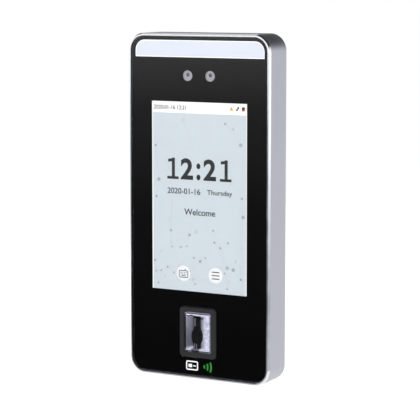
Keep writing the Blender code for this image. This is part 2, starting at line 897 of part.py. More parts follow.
def build_main_board():
    """The main board with its tongue, its cut-out for the jack and its screws."""
    through = (BOARD_FRONT - OVER, BOARD_REAR + OVER)
    board = block(
        "main_board",
        (-BOARD_W, BOARD_W),
        (BOARD_FRONT, BOARD_REAR),
        (BOARD_BOTTOM, BOARD_TOP),
        "circuit_board",
        radius=1.5,
        steps=3,
    )
    tongue = block("board_tongue", TONGUE_X, (BOARD_FRONT, BOARD_REAR), (GAP - CAVITY_H, BOARD_BOTTOM + 2))
    jack_hole = block(
        "board_jack_hole",
        (JACK_X[0] - GAP, JACK_X[1] + GAP),
        through,
        (HEADER_TOP - JACK_LENGTH - GAP, HEADER_TOP + GAP),
    )
    join(board, tongue)
    cut(board, jack_hole)
    for number, (x, z) in enumerate(board_screw_places(), 1):
        hole = rod(f"board_hole_{number}", SMALL_SCREW_R + GAP, through, (x, z), steps=10)
        cut(board, hole)
        small_screw(f"board_screw_{number}", (x, PARTS_BASE, z), 3.4)


def build_board_parts():
    """What stands on the main board's rear side, above the bay."""
    shield_z = (BAY_TOP + 19.0, BOARD_TOP - 29.0)
    shield = block(
        "processor_shield", (-16.0, 16.0), (PARTS_BASE, PARTS_BASE + 2.4), shield_z, "sheet_steel"
    )
    inside = block(
        "shield_inside",
        (-15.5, 15.5),
        (PARTS_BASE - OVER, PARTS_BASE + 1.9),
        (shield_z[0] + 0.5, shield_z[1] - 0.5),
    )
    cut(shield, inside)
    block(
        "lock_relay",
        (-31.0, -11.0),
        (PARTS_BASE, COVER_IN - 0.6),
        centred(BOARD_TOP - 17.5, 15.0),
        "blue_plastic",
        radius=0.6,
        steps=2,
    )
    cell_x, cell_z = 22.0, BOARD_TOP - 18.0
    holder = block(
        "cell_holder",
        centred(cell_x, 19.0),
        (PARTS_BASE, PARTS_BASE + 2.7),
        centred(cell_z, 19.0),
        "black_plastic",
        radius=2.0,
    )
    pocket = rod("cell_pocket", 8.0 + GAP, (PARTS_BASE + 1.0, COVER_IN), (cell_x, cell_z), steps=24)
    cut(holder, pocket)
    cell = (PARTS_BASE + 1.0 + GAP, PARTS_BASE + 1.0 + GAP + 3.2)
    rod("coin_cell", 8.0, cell, (cell_x, cell_z), "sheet_steel", steps=24)


def build_tamper_switch():
    """The switch that the wall bracket holds down, and its plunger."""
    body = block(
        "tamper_switch",
        centred(0, 7.0),
        (PARTS_BASE, PARTS_BASE + 3.6),
        centred(TAMPER_Z, 7.0),
        "black_plastic",
        radius=0.8,
        steps=2,
    )
    bore = rod("tamper_bore", 1.5 + GAP, (PARTS_BASE + 1.1, COVER_IN), (0, TAMPER_Z), steps=16)
    cut(body, bore)
    tip = -BRACKET_T - GAP
    base = PARTS_BASE + 2.6
    profile = ((0.0, 0.0), (1.0, 0.0), (1.5, -0.5), (1.5, base - tip), (0.0, base - tip))
    turned("tamper_plunger", profile, (0, tip, TAMPER_Z), "white_plastic", facing="rear", steps=16)


def build_reset_switch():
    """The small push switch in the terminal bay, and its button."""
    body = block(
        "reset_switch",
        centred(RESET_X, 5.0),
        (PARTS_BASE, PARTS_BASE + 3.0),
        centred(RESET_Z, 5.0),
        "sheet_steel",
        radius=0.5,
        steps=2,
    )
    bore = rod("reset_bore", 1.2 + GAP, (PARTS_BASE + 0.9, COVER_IN), (RESET_X, RESET_Z), steps=16)
    cut(body, bore)
    button = (PARTS_BASE + 1.8, PARTS_BASE + 4.3)
    rod("reset_button", 1.2, button, (RESET_X, RESET_Z), "black_plastic", steps=16)


# --- connectors --------------------------------------------------------------


def build_terminal(side, x, ways):
    """One pin header on the board and the screw plug that pulls down off it."""
    rear = PARTS_BASE + HEADER_DEPTH
    mouth = HEADER_TOP - HEADER_LENGTH
    floor = HEADER_TOP - 1.2
    first_pin = x[0] + HEADER_END + PITCH / 2
    pin_y = (PARTS_BASE + rear) / 2
    row = (ways, (PITCH, 0, 0))

    header = block(
        f"terminal_header_{side}", x, (PARTS_BASE, rear), (mouth, HEADER_TOP), "green_plastic"
    )
    socket_x = (x[0] + HEADER_WALL, x[1] - HEADER_WALL)
    socket_y = (PARTS_BASE + HEADER_WALL, rear - HEADER_WALL)
    cut(header, block(f"header_socket_{side}", socket_x, socket_y, (mouth - OVER, floor)))
    pin = block(
        f"header_pin_{side}", centred(first_pin, PIN), centred(pin_y, PIN), (mouth + 1.5, floor + 0.5)
    )
    join(header, repeat(pin, *row))

    plug_top = mouth - GAP
    plug_bottom = plug_top - PLUG_LENGTH
    plug = block(
        f"terminal_plug_{side}", x, (PARTS_BASE, rear), (plug_bottom, plug_top), "green_plastic"
    )
    neck = block(
        f"plug_neck_{side}",
        (socket_x[0] + GAP, socket_x[1] - GAP),
        (socket_y[0] + GAP, socket_y[1] - GAP),
        (plug_top - OVER, floor - GAP),
    )
    join(plug, neck)
    pin_hole = block(
        f"plug_pin_hole_{side}",
        centred(first_pin, PIN + 2 * GAP),
        centred(pin_y, PIN + 2 * GAP),
        (mouth + 1.5 - GAP, floor + OVER),
    )
    wire_hole = block(
        f"plug_wire_hole_{side}",
        centred(first_pin, 2.4),
        centred(pin_y - 1.2, 2.8),
        (plug_bottom - OVER, plug_bottom + 7.0),
    )
    clamp_hole = rod(
        f"plug_clamp_hole_{side}",
        1.3,
        (rear - 2.2, rear + OVER),
        (first_pin, plug_bottom + 6.0),
        steps=10,
    )
    cut(plug, *(repeat(hole, *row) for hole in (pin_hole, wire_hole, clamp_hole)))


def build_ethernet_jack():
    """The network socket: its mouth faces down into the bay."""
    front = PARTS_BASE - JACK_SUNK
    rear = front + JACK_DEPTH
    jack = block(
        "ethernet_jack", JACK_X, (front, rear), (HEADER_TOP - JACK_LENGTH, HEADER_TOP), "sheet_steel"
    )
    middle = sum(JACK_X) / 2
    mouth = HEADER_TOP - JACK_LENGTH
    socket = block(
        "jack_socket", centred(middle, 11.8), (rear - 8.6, rear - 1.5), (mouth - OVER, mouth + 14.0)
    )
    latch = block(
        "jack_latch_way", centred(middle, 6.0), (rear - 2.0, rear - 0.7), (mouth - OVER, mouth + 9.0)
    )
    cut(jack, socket, latch)


def build_usb_port():
    """The service socket in the frame's underside, on the board's tongue."""
    z = (GAP - CAVITY_H, 7.5 - CAVITY_H)
    port = block(
        "usb_port",
        centred(USB_X, USB_SIZE[0]),
        (PARTS_BASE, PARTS_BASE + USB_SIZE[1]),
        z,
        "sheet_steel",
        radius=1.2,
        along="Z",
    )
    middle = PARTS_BASE + USB_SIZE[1] / 2
    hollow = block(
        "usb_hollow",
        centred(USB_X, USB_SIZE[0] - 0.8),
        centred(middle, USB_SIZE[1] - 0.8),
        (z[0] - OVER, z[1] - 1.0),
        radius=1.0,
        along="Z",
    )
    cut(port, hollow)
    join(port, block("usb_tongue", centred(USB_X, 6.0), centred(middle, 0.7), (z[0] + 1.0, z[1] - 0.5)))


def build_speaker():
    """The small speaker box behind the slots in the frame's underside."""
    box = block("speaker", SPEAKER_X, SPEAKER_Y, SPEAKER_Z, "black_plastic", radius=1.0, along="Z", steps=3)
    cone = block(
        "speaker_mouth",
        centred(sum(SPEAKER_X) / 2, 14.5),
        centred(sum(SPEAKER_Y) / 2, 3.0),
        (SPEAKER_Z[0] - OVER, SPEAKER_Z[0] + 1.2),
        radius=1.2,
        along="Z",
    )
    cut(box, cone)


# --- rear cover and bracket --------------------------------------------------


def build_rear_cover():
    """The rear cover: a tray with a pan for the bracket, a bay and hook slots."""
    cover = block(
        "rear_cover",
        (-COVER_W, COVER_W),
        (SKIRT_FRONT, RIM_Y),
        (-COVER_H, COVER_H),
        "black_plastic",
        radius=CORNER_R - WALL - GAP,
        steps=CORNER_STEPS,
    )
    inner_w, inner_h = COVER_W - COVER_T, COVER_H - COVER_T
    tray = block(
        "cover_tray",
        (-inner_w, inner_w),
        (SKIRT_FRONT - OVER, COVER_IN),
        (-inner_h, inner_h),
        radius=CORNER_R - WALL - GAP - COVER_T,
    )
    cut(cover, tray)
    root = COVER_IN + 0.5
    for number, (x, z, _) in enumerate(cover_screw_places(), 1):
        join(cover, rod(f"pillar_{number}", PILLAR_R, (SKIRT_FRONT + 0.2, root), (x, z), steps=12))
    bay_z = (BAY_BOTTOM, BAY_TOP)
    bay_wall = block(
        "bay_wall",
        (-BAY_W - BAY_WALL, BAY_W + BAY_WALL),
        (BOARD_REAR + 0.6, root),
        (BAY_BOTTOM - BAY_WALL, BAY_TOP + BAY_WALL),
        radius=2.0,
    )
    lock_block_z = (0.4 - COVER_H, INSERT_Z[1] + 1.4)
    lock_block = block("lock_block", (-11.0, 11.0), (NOTCH_Y - 0.8, root), lock_block_z)
    join(cover, bay_wall, lock_block)

    pan_side = BRACKET_W + PAN_SIDE
    pan = block(
        "cover_pan",
        (-pan_side, pan_side),
        (PAN_Y, RIM_Y + OVER),
        (BRACKET_BOTTOM - LIFT - 0.7, BRACKET_TOP + 0.7),
        radius=3.0,
    )
    bay = block("cover_bay", (-BAY_W, BAY_W), (BOARD_FRONT, RIM_Y + OVER), bay_z, radius=1.5)
    channel = block(
        "cover_channel",
        (-NOTCH_W, NOTCH_W),
        (PAN_Y, RIM_Y + OVER),
        (-COVER_H - OVER, BRACKET_BOTTOM - LIFT),
    )
    notch = block(
        "cover_notch", (-NOTCH_W, NOTCH_W), (NOTCH_Y, RIM_Y + OVER), (-COVER_H - OVER, NOTCH_TOP)
    )
    tamper_hole = rod("tamper_hole", 2.0, (COVER_IN - OVER, PAN_Y + OVER), (0, TAMPER_Z), steps=16)
    insert_z = (NOTCH_TOP - OVER, INSERT_Z[1] + GAP)
    insert_hole = rod("insert_hole", INSERT_R + GAP, insert_z, (0, LOCK_Y), along="Z", steps=16)
    cut(cover, pan, bay, channel, notch, tamper_hole, insert_hole)
    for number, (x, neck) in enumerate(hook_necks(), 1):
        slot_z = (neck - LIFT - 0.4, neck + HOOK_NECK + GAP)
        slot_x = centred(x, 2 * (HOOK_W + SLOT_SIDE))
        cut(cover, block(f"hook_slot_{number}", slot_x, (COVER_IN - OVER, PAN_Y + OVER), slot_z))
    fasten_cover(cover)


def fasten_cover(cover):
    """Counterbore the cover's six pillars and put a hex screw in each."""
    head_r, head_h = COVER_SCREW_HEAD
    seat = RIM_Y - 2.9
    for number, (x, z, _) in enumerate(cover_screw_places(), 1):
        through = (SKIRT_FRONT - OVER, RIM_Y)
        hole = rod(f"cover_hole_{number}", COVER_SCREW_R + GAP, through, (x, z), steps=10)
        sink = rod(f"cover_sink_{number}", head_r + GAP, (seat, RIM_Y + OVER), (x, z), steps=16)
        cut(cover, hole, sink)
        tip = LEDGE_BACK + 2.1 - seat - GAP
        profile = (
            (0.0, head_h),
            (head_r - 0.4, head_h),
            (head_r, head_h - 0.4),
            (head_r, 0.0),
            (COVER_SCREW_R, 0.0),
            (COVER_SCREW_R, tip),
            (0.0, tip),
        )
        place = (x, seat + GAP, z)
        screw = turned(f"cover_screw_{number}", profile, place, "screw_steel", "rear", steps=16)
        socket = (place[1] + head_h - 1.2, place[1] + head_h + OVER)
        cut(screw, rod(f"cover_screw_hex_{number}", 1.25, socket, (x, z), steps=6))


def build_lock():
    """The threaded insert in the cover and the bracket's screw that enters it."""
    insert = rod("lock_insert", INSERT_R, INSERT_Z, (0, LOCK_Y), "brass", along="Z", steps=16)
    bore = (INSERT_Z[0] - OVER, INSERT_Z[1] + OVER)
    cut(insert, rod("insert_bore", LOCK_SCREW_R + GAP, bore, (0, LOCK_Y), along="Z", steps=12))
    head_r, head_h = LOCK_SCREW_HEAD
    under_head = FLANGE_BOTTOM - GAP
    length = 7.0
    profile = (
        (0.0, head_h),
        (head_r - 0.4, head_h),
        (head_r, head_h - 0.4),
        (head_r, 0.0),
        (LOCK_SCREW_R, 0.0),
        (LOCK_SCREW_R, -length),
        (0.0, -length),
    )
    place = (0, LOCK_Y, under_head)
    screw = turned("security_screw", profile, place, "screw_steel", facing="down", steps=16)
    socket = (under_head - head_h - OVER, under_head - head_h + 1.3)
    cut(screw, rod("security_screw_hex", 1.25, socket, (0, LOCK_Y), along="Z", steps=6))


def build_bracket():
    """The wall bracket: plate, cable window, wall slots, hooks and lock flange."""
    plate_y = (-BRACKET_T, 0.0)
    bracket = block(
        "wall_bracket",
        (-BRACKET_W, BRACKET_W),
        plate_y,
        (BRACKET_BOTTOM, BRACKET_TOP),
        "sheet_steel",
        radius=4.0,
    )
    tab = block("bracket_tab", (-TAB_W, TAB_W), plate_y, (FLANGE_BOTTOM, BRACKET_BOTTOM + OVER))
    flange_z = (FLANGE_BOTTOM, FLANGE_BOTTOM + FLANGE_T)
    flange = block("bracket_flange", (-TAB_W, TAB_W), (-FLANGE_REACH, 0.0), flange_z)
    join(bracket, tab, flange)
    tongue_rear = COVER_IN - HOOK_BEHIND
    tongue_y = (tongue_rear - HOOK_T, tongue_rear)
    for number, (x, neck) in enumerate(hook_necks(), 1):
        span = (x - HOOK_W, x + HOOK_W)
        top = neck + HOOK_NECK
        arm = block(f"hook_arm_{number}", span, (tongue_y[0], -BRACKET_T + 0.5), (neck, top))
        tongue = block(f"hook_tongue_{number}", span, tongue_y, (neck, top + HOOK_TONGUE))
        join(bracket, arm, tongue)
    through = (-BRACKET_T - OVER, OVER)
    window = block(
        "bracket_cable_window", (-CABLE_WINDOW_W, CABLE_WINDOW_W), through, CABLE_WINDOW, radius=4.0
    )
    lock_hole = (flange_z[0] - OVER, flange_z[1] + OVER)
    cut(bracket, window)
    cut(bracket, rod("flange_hole", LOCK_SCREW_R + GAP, lock_hole, (0, LOCK_Y), along="Z", steps=12))
    width, length = WALL_SLOT
    for x in (-WALL_SLOT_X, 0.0, WALL_SLOT_X):
        for z in (BRACKET_TOP - 8.0, BAY_TOP + 30.0):
            slot = block(
                f"wall_slot_{x:.0f}_{z:.0f}",
                centred(x, width),
                through,
                centred(z, length),
                radius=width / 2 - 0.05,
            )
            cut(bracket, slot)


def hang_terminal():
    """Parent all that lifts off the bracket to the carriage empty."""
    fixed = ("wall_bracket", "security_screw")
    for obj in PARTS.objects:
        if obj.type == "MESH" and obj.name not in fixed:
            obj.parent = CARRIAGE


PARTS, CUTTERS, CARRIAGE = start_scene()
build_frame()
build_glass()
build_light_bar()
build_cameras()
build_screen()
build_microphone()
build_sensor()
build_carrier()
build_antenna()
build_main_board()
build_board_parts()
build_tamper_switch()
build_reset_switch()
build_terminal("left", LEFT_HEADER_X, LEFT_WAYS)
build_terminal("right", RIGHT_HEADER_X, RIGHT_WAYS)
build_ethernet_jack()
build_usb_port()
build_speaker()
build_rear_cover()
build_lock()
build_bracket()
hang_terminal()
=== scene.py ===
"""Looks of a wall-mounted fingerprint access terminal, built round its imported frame.

Each sub-assembly is a class that holds its sizes, builds its meshes and dresses them.
Lengths are in metres. X runs along the width, Z up, and the glass faces -Y.
"""

import logging
import math
import random
from contextlib import contextmanager
from dataclasses import dataclass, field
from enum import Enum
from typing import Any, Callable, Iterator, Sequence

import bmesh
import bpy
from mathutils import Matrix, Vector


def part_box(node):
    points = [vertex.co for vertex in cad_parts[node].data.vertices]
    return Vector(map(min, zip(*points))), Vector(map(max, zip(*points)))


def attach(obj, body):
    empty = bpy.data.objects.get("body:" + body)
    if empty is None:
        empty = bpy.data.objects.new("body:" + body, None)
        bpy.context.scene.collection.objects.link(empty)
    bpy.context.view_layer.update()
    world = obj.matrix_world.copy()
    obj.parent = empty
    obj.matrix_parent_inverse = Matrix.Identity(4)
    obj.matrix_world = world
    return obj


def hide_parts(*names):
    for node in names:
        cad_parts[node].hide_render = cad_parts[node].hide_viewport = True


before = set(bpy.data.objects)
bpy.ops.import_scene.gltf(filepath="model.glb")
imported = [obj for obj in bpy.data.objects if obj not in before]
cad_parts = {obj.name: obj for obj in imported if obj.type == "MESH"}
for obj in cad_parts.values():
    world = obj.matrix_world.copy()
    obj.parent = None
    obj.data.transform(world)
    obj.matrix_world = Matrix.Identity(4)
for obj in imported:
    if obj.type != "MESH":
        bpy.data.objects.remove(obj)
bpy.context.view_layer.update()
LOG = logging.getLogger("terminal")

MM = 0.001
SKIN = 0.02 * MM  # thickness of print and screen ink
OVER = 1.0 * MM  # how far a cutter runs past what it cuts
CORNER_STEPS = 22  # segments in each large corner
BAR_CORNER = 6.0 * MM  # upper corners of the light bar and of its window
BEZEL_FLANGE = 1.2 * MM  # how far the sensor bezel's foot stands out under the glass
PANEL_EDGE = (1.7 * MM, 4.6 * MM, 3.2 * MM)  # unlit edges of the panel: sides, foot and top
Colour = tuple[float, float, float]
Span = tuple[float, float]
Place = tuple[float, float, float]


# --- finishes ----------------------------------------------------------------


class Grain(Enum):
    """How a surface was made: grains per metre, relief in metres and stretch along X, Y, Z."""

    BLASTED = (1500.0, 0.000030, (1.0, 1.0, 1.0))
    POLISHED = (260.0, 0.000002, (1.0, 1.0, 0.2))
    MOULDED = (1900.0, 0.000018, (1.0, 1.0, 1.0))
    BRUSHED = (1500.0, 0.000010, (1.0, 1.0, 0.04))
    ROLLED = (700.0, 0.000008, (0.08, 1.0, 1.0))
    FOAM = (2600.0, 0.000060, (1.0, 1.0, 1.0))


class Nodes:
    """A small writer of shader nodes for one material."""

    def __init__(self, name: str) -> None:
        """Start an empty material that has a Principled shader and Object coordinates."""
        self.material = bpy.data.materials.new(name)
        self.material.use_nodes = True
        self.tree = self.material.node_tree
        self.shader = self.tree.nodes["Principled BSDF"]
        self.place = self.tree.nodes.new("ShaderNodeTexCoord").outputs["Object"]

    def link(self, source: Any, target: Any) -> None:
        """Join an output to an input."""
        self.tree.links.new(source, target)

    def noise(self, scale: float, detail: float = 2.0, stretch: Place = (1.0, 1.0, 1.0)) -> Any:
        """Noise on the piece's own coordinates.

        Args:
            scale: Features per metre.
            detail: Octaves of finer noise.
            stretch: Scale of the coordinates along each axis.

        Returns:
            The noise value's output socket.
        """
        mapping = self.tree.nodes.new("ShaderNodeMapping")
        mapping.inputs["Scale"].default_value = stretch
        self.link(self.place, mapping.inputs["Vector"])
        texture = self.tree.nodes.new("ShaderNodeTexNoise")
        texture.inputs["Scale"].default_value = scale
        texture.inputs["Detail"].default_value = detail
        self.link(mapping.outputs["Vector"], texture.inputs["Vector"])
        return texture.outputs["Fac"]

    def ranged(self, source: Any, low: float, high: float, out: Span) -> Any:
        """Map a value from low..high to the out span, clamped."""
        node = self.tree.nodes.new("ShaderNodeMapRange")
        node.inputs["From Min"].default_value = low
        node.inputs["From Max"].default_value = high
        node.inputs["To Min"].default_value = out[0]
        node.inputs["To Max"].default_value = out[1]
        self.link(source, node.inputs["Value"])
        return node.outputs["Result"]

    def blended(self, factor: Any, first: Any, second: Any) -> Any:
        """Mix two colours, each a colour or a socket, by a factor socket."""
        node = self.tree.nodes.new("ShaderNodeMix")
        node.data_type = "RGBA"
        self.link(factor, node.inputs["Factor"])
        for socket, value in ((node.inputs[6], first), (node.inputs[7], second)):
            if isinstance(value, tuple):
                socket.default_value = (*value, 1.0)
            else:
                self.link(value, socket)
        return node.outputs[2]

    def relief(self, height: Any, depth: float) -> None:
        """Drive the shader's normal from a height of the given depth in metres."""
        bump = self.tree.nodes.new("ShaderNodeBump")
        bump.inputs["Strength"].default_value = 1.0
        bump.inputs["Distance"].default_value = depth
        self.link(height, bump.inputs["Height"])
        self.link(bump.outputs["Normal"], self.shader.inputs["Normal"])

    def pass_lamps(self) -> None:
        """Let lamp light through, so that it reaches what lies behind the glass."""
        clear = self.tree.nodes.new("ShaderNodeBsdfTransparent")
        path = self.tree.nodes.new("ShaderNodeLightPath")
        mix = self.tree.nodes.new("ShaderNodeMixShader")
        self.link(path.outputs["Is Shadow Ray"], mix.inputs[0])
        self.link(self.shader.outputs[0], mix.inputs[1])
        self.link(clear.outputs[0], mix.inputs[2])
        self.link(mix.outputs[0], self.tree.nodes["Material Output"].inputs["Surface"])

    def along(self, axis: str, low: float, high: float, out: Span = (0.0, 1.0)) -> Any:
        """A smooth ramp along one axis of the piece, between two places in metres."""
        parts = self.tree.nodes.new("ShaderNodeSeparateXYZ")
        self.link(self.place, parts.inputs[0])
        ramp = self.ranged(parts.outputs[axis], low, high, out)
        ramp.node.interpolation_type = "SMOOTHSTEP"
        return ramp

    def math(self, operation: str, first: Any, second: Any) -> Any:
        """One arithmetic step on two sockets."""
        node = self.tree.nodes.new("ShaderNodeMath")
        node.operation = operation
        self.link(first, node.inputs[0])
        self.link(second, node.inputs[1])
        return node.outputs[0]


def shade(colour: Colour, factor: float) -> Colour:
    """A colour made lighter or darker, kept within 0 to 1."""
    return (min(1.0, colour[0] * factor), min(1.0, colour[1] * factor), min(1.0, colour[2] * factor))


class Surface:
    """A finish that makes its material on first use."""

    name: str

    def material(self) -> bpy.types.Material:
        """The finish's material, made on first use."""
        return bpy.data.materials.get(self.name) or self.painted(Nodes(self.name))

    def painted(self, nodes: Nodes) -> bpy.types.Material:
        """Write the finish's nodes."""
        raise NotImplementedError


@dataclass(frozen=True)
class Finish(Surface):
    """A solid surface: metal, moulded plastic, board, rubber or foam."""

    name: str
    colour: Colour
    roughness: float
    metallic: float = 0.0
    grain: Grain = Grain.MOULDED
    variation: float = 0.12
    speckle: float = 0.10
    wear: float = 0.25
    slot: str = "black_plastic"
    specular: float = 0.5

    def painted(self, nodes: Nodes) -> bpy.types.Material:
        """Write the finish's nodes.

        Args:
            nodes: The writer of an empty material.

        Returns:
            A material with colour variation, grain, faint wear, roughness and relief.
        """
        scale, depth, stretch = self.grain.value
        broad = nodes.noise(55.0, 3.0)
        fine = nodes.noise(scale, 2.0, stretch)
        spots = nodes.ranged(fine, 0.3, 0.7, (0.0, 1.0))
        low, high = shade(self.colour, 1.0 - self.variation), shade(self.colour, 1.0 + self.variation)
        base = nodes.blended(nodes.ranged(broad, 0.3, 0.7, (0.0, 1.0)), low, high)
        dusted = nodes.blended(
            nodes.ranged(spots, 0.0, 1.0, (0.0, self.speckle)), base, shade(self.colour, 1.9)
        )
        rubbed = nodes.noise(420.0, 6.0, (1.0, 1.0, 0.12))
        worn = nodes.ranged(rubbed, 0.60, 0.78, (0.0, self.wear))
        nodes.link(nodes.blended(worn, dusted, shade(self.colour, 1.35)), nodes.shader.inputs["Base Color"])
        spread = (max(0.03, self.roughness - 0.07), min(1.0, self.roughness + 0.07))
        nodes.link(nodes.ranged(broad, 0.3, 0.7, spread), nodes.shader.inputs["Roughness"])
        nodes.shader.inputs["Metallic"].default_value = self.metallic
        nodes.shader.inputs["Specular IOR Level"].default_value = self.specular
        nodes.relief(fine, depth)
        return nodes.material


@dataclass(frozen=True)
class Glass(Surface):
    """Clear glass with faint smudges."""

    name: str
    colour: Colour
    roughness: float = 0.02
    slot: str = "clear_glass"

    def painted(self, nodes: Nodes) -> bpy.types.Material:
        """Write the glass's nodes."""
        smudge = nodes.noise(38.0, 4.0, (1.0, 1.0, 0.5))
        smudged = nodes.ranged(smudge, 0.4, 0.8, (0.0, 1.0))
        tint = nodes.blended(smudged, self.colour, shade(self.colour, 0.97))
        nodes.link(tint, nodes.shader.inputs["Base Color"])
        rough = nodes.ranged(smudge, 0.45, 0.8, (self.roughness, self.roughness + 0.03))
        nodes.link(rough, nodes.shader.inputs["Roughness"])
        nodes.shader.inputs["Transmission Weight"].default_value = 1.0
        nodes.shader.inputs["IOR"].default_value = 1.5
        nodes.relief(smudge, 0.0000004)
        nodes.pass_lamps()
        return nodes.material


@dataclass(frozen=True)
class Lit(Surface):
    """A surface that gives light: the bar, the screen and its inks, the sensor's walls."""

    name: str
    colour: Colour
    strength: float = 1.0
    unevenness: float = 0.02
    patch: float = 40.0
    slot: str = "screen"
    body: float = 0.30

    def painted(self, nodes: Nodes) -> bpy.types.Material:
        """Write the lit surface's nodes."""
        cloud = nodes.ranged(nodes.noise(self.patch, 2.0), 0.3, 0.7, (0.0, 1.0))
        glow = nodes.blended(cloud, shade(self.colour, 1.0 - self.unevenness), self.colour)
        nodes.link(glow, nodes.shader.inputs["Emission Color"])
        nodes.shader.inputs["Emission Strength"].default_value = self.strength
        nodes.shader.inputs["Base Color"].default_value = (*shade(self.colour, self.body), 1.0)
        nodes.link(nodes.ranged(cloud, 0.0, 1.0, (0.45, 0.55)), nodes.shader.inputs["Roughness"])
        nodes.relief(nodes.noise(2400.0, 1.0), 0.000002)
        return nodes.material


@dataclass(frozen=True)
class WellLight(Surface):
    """The sensor's lit well, with painted shade: bright at its walls, dim round its core, darker low on the
    left, brightest on the right.
    """

    name: str
    colour: Colour
    dim: Colour
    core: Span
    half: Span
    slot: str = "white_plastic"

    def painted(self, nodes: Nodes) -> bpy.types.Material:
        """Write the well's nodes.

        Args:
            nodes: The writer of an empty material.

        Returns:
            A lit material whose glow falls off towards the core as painted shade, with a painted shadow of
            the core on the foot and cloudy unevenness.
        """
        (x, z), (half_x, half_z) = self.core, self.half
        # Painted shade: the glow is dimmed towards the core, on the left more so lower down, and is
        # brightest on the right.
        right = nodes.along("X", x + 0.15 * half_x, x + 0.60 * half_x, (0.08, 1.0))
        left = nodes.along("X", x - 1.0 * half_x, x - 0.25 * half_x, (0.70, 0.04))
        lower = nodes.along("Z", z - 0.35 * half_z, z + 0.60 * half_z, (0.42, 1.0))
        left = nodes.math("MULTIPLY", left, lower)
        top = nodes.along("Z", z + 0.62 * half_z, z + 0.92 * half_z, (0.0, 1.3))
        foot = nodes.along("Z", z - 0.95 * half_z, z - 0.70 * half_z, (0.80, 0.0))
        # Painted shadow of the core: the foot's glow is taken out in the core's column.
        unshadowed_left = nodes.along("X", x - 0.34 * half_x, x - 0.24 * half_x, (1.0, 0.0))
        unshadowed_right = nodes.along("X", x + 0.24 * half_x, x + 0.34 * half_x)
        foot = nodes.math("MULTIPLY", foot, nodes.math("MAXIMUM", unshadowed_left, unshadowed_right))
        ends = nodes.math("MAXIMUM", top, foot)
        cloud = nodes.ranged(nodes.noise(420.0, 5.0), 0.32, 0.66, (0.50, 1.0))
        side = nodes.math("MULTIPLY", nodes.math("MAXIMUM", right, left), cloud)
        glow = nodes.blended(nodes.math("MAXIMUM", side, ends), self.dim, self.colour)
        nodes.link(glow, nodes.shader.inputs["Emission Color"])
        nodes.shader.inputs["Emission Strength"].default_value = 1.0
        nodes.shader.inputs["Base Color"].default_value = (0.05, 0.05, 0.06, 1.0)
        nodes.link(nodes.ranged(cloud, 0.6, 1.0, (0.4, 0.6)), nodes.shader.inputs["Roughness"])
        nodes.relief(nodes.noise(1800.0, 2.0), 0.00001)
        return nodes.material


BLASTED = Finish(
    "blasted_aluminium", (0.48, 0.49, 0.545), 0.42, 1.0, Grain.BLASTED, 0.07, 0.26, 0.12, "frame_aluminium"
)
POLISHED = Finish(
    "polished_aluminium", (0.84, 0.85, 0.88), 0.12, 1.0, Grain.POLISHED, 0.03, 0.04, 0.15, "frame_aluminium"
)
COVER = Glass("toughened_glass", (1.0, 1.0, 1.0), 0.0, "cover_glass")
# Black print on the glass; the same black also makes the painted shade ring on the sensor's platen.
PRINT_AND_SHADE = Finish(
    "black_print_and_shade", (0.0016, 0.0016, 0.0020), 0.8, 0.0, Grain.POLISHED, 0.2, 0.02, 0.0, "cover_glass", 0.0
)
LENS = Glass("coated_lens", (0.80, 0.82, 0.92), 0.01)
PLATEN = Glass("sensor_platen", (0.97, 0.97, 1.0), 0.01)
DISH = Finish(
    "lens_dish", (0.56, 0.57, 0.63), 0.55, 0.0, Grain.POLISHED, 0.05, 0.05, 0.05, "black_plastic"
)
PUPIL = Finish(
    "lens_pupil", (0.035, 0.035, 0.045), 0.30, 0.0, Grain.POLISHED, 0.1, 0.05, 0.0, "black_plastic"
)
IRIS = Finish(
    "lens_iris", (0.20, 0.20, 0.25), 0.40, 0.0, Grain.POLISHED, 0.1, 0.05, 0.0, "black_plastic"
)
BAR = Lit("bar_light", (0.78, 0.83, 0.93), 0.80, 0.03, 30.0, "white_diffuser")
BAR_EDGE = Lit("bar_edge_light", (1.0, 1.0, 1.0), 1.10, 0.02, 30.0, "white_diffuser")
SCREEN = Lit("screen_light", (0.650, 0.722, 0.772), 0.84, 0.03, 16.0)
SCREEN_WHITE = Lit("screen_white", (0.94, 0.94, 0.93), 0.95, 0.01)
INK = Lit("screen_ink", (0.006, 0.007, 0.009), 1.0, 0.1)
SOFT_INK = Lit("screen_soft_ink", (0.012, 0.013, 0.017), 1.0, 0.1)
PALE_INK = Lit("screen_pale_ink", (0.80, 0.82, 0.84), 1.0, 0.03)
MARK_INK = Lit("screen_mark_ink", (0.075, 0.080, 0.088), 1.0, 0.1)
DOT_INK = Lit("screen_dot_ink", (0.42, 0.45, 0.48), 0.95, 0.30, 90.0)
ROSE_INK = Lit("screen_rose_ink", (0.66, 0.61, 0.63), 0.95, 0.12, 90.0)
LINE_INK = Lit("screen_line_ink", (0.56, 0.58, 0.62), 0.95, 0.12, 90.0)
YELLOW_INK = Lit("screen_yellow_ink", (0.72, 0.42, 0.05), 1.0, 0.1)
RED_INK = Lit("screen_red_ink", (0.70, 0.08, 0.05), 1.0, 0.1)
# The printed mark's inks glow: painted light standing in for the lamp light that falls on them.
MARK_WHITE = Lit("mark_white", (0.93, 0.93, 0.94), 1.0, 0.02, 200.0, "cover_glass")
MARK_GREEN = Lit("mark_green", (0.018, 0.270, 0.022), 0.9, 0.05, 200.0, "cover_glass")
SENSOR_STREAK = Lit("sensor_streak", (0.30, 0.31, 0.38), 1.0, 0.3, 260.0, "white_plastic")
SATIN_DARK = Finish(
    "satin_dark", (0.016, 0.016, 0.018), 0.46, 0.0, Grain.MOULDED, 0.1, 0.06, 0.15, "dark_plastic", 0.32
)
CORE = Finish(
    "sensor_core_black", (0.004, 0.004, 0.006), 0.7, 0.0, Grain.MOULDED, 0.2, 0.05, 0.0,
    "black_plastic", 0.12,
)
BLACK = Finish(
    "moulded_black", (0.018, 0.018, 0.020), 0.55, 0.0, Grain.MOULDED, 0.15, 0.05, 0.2, "black_plastic"
)
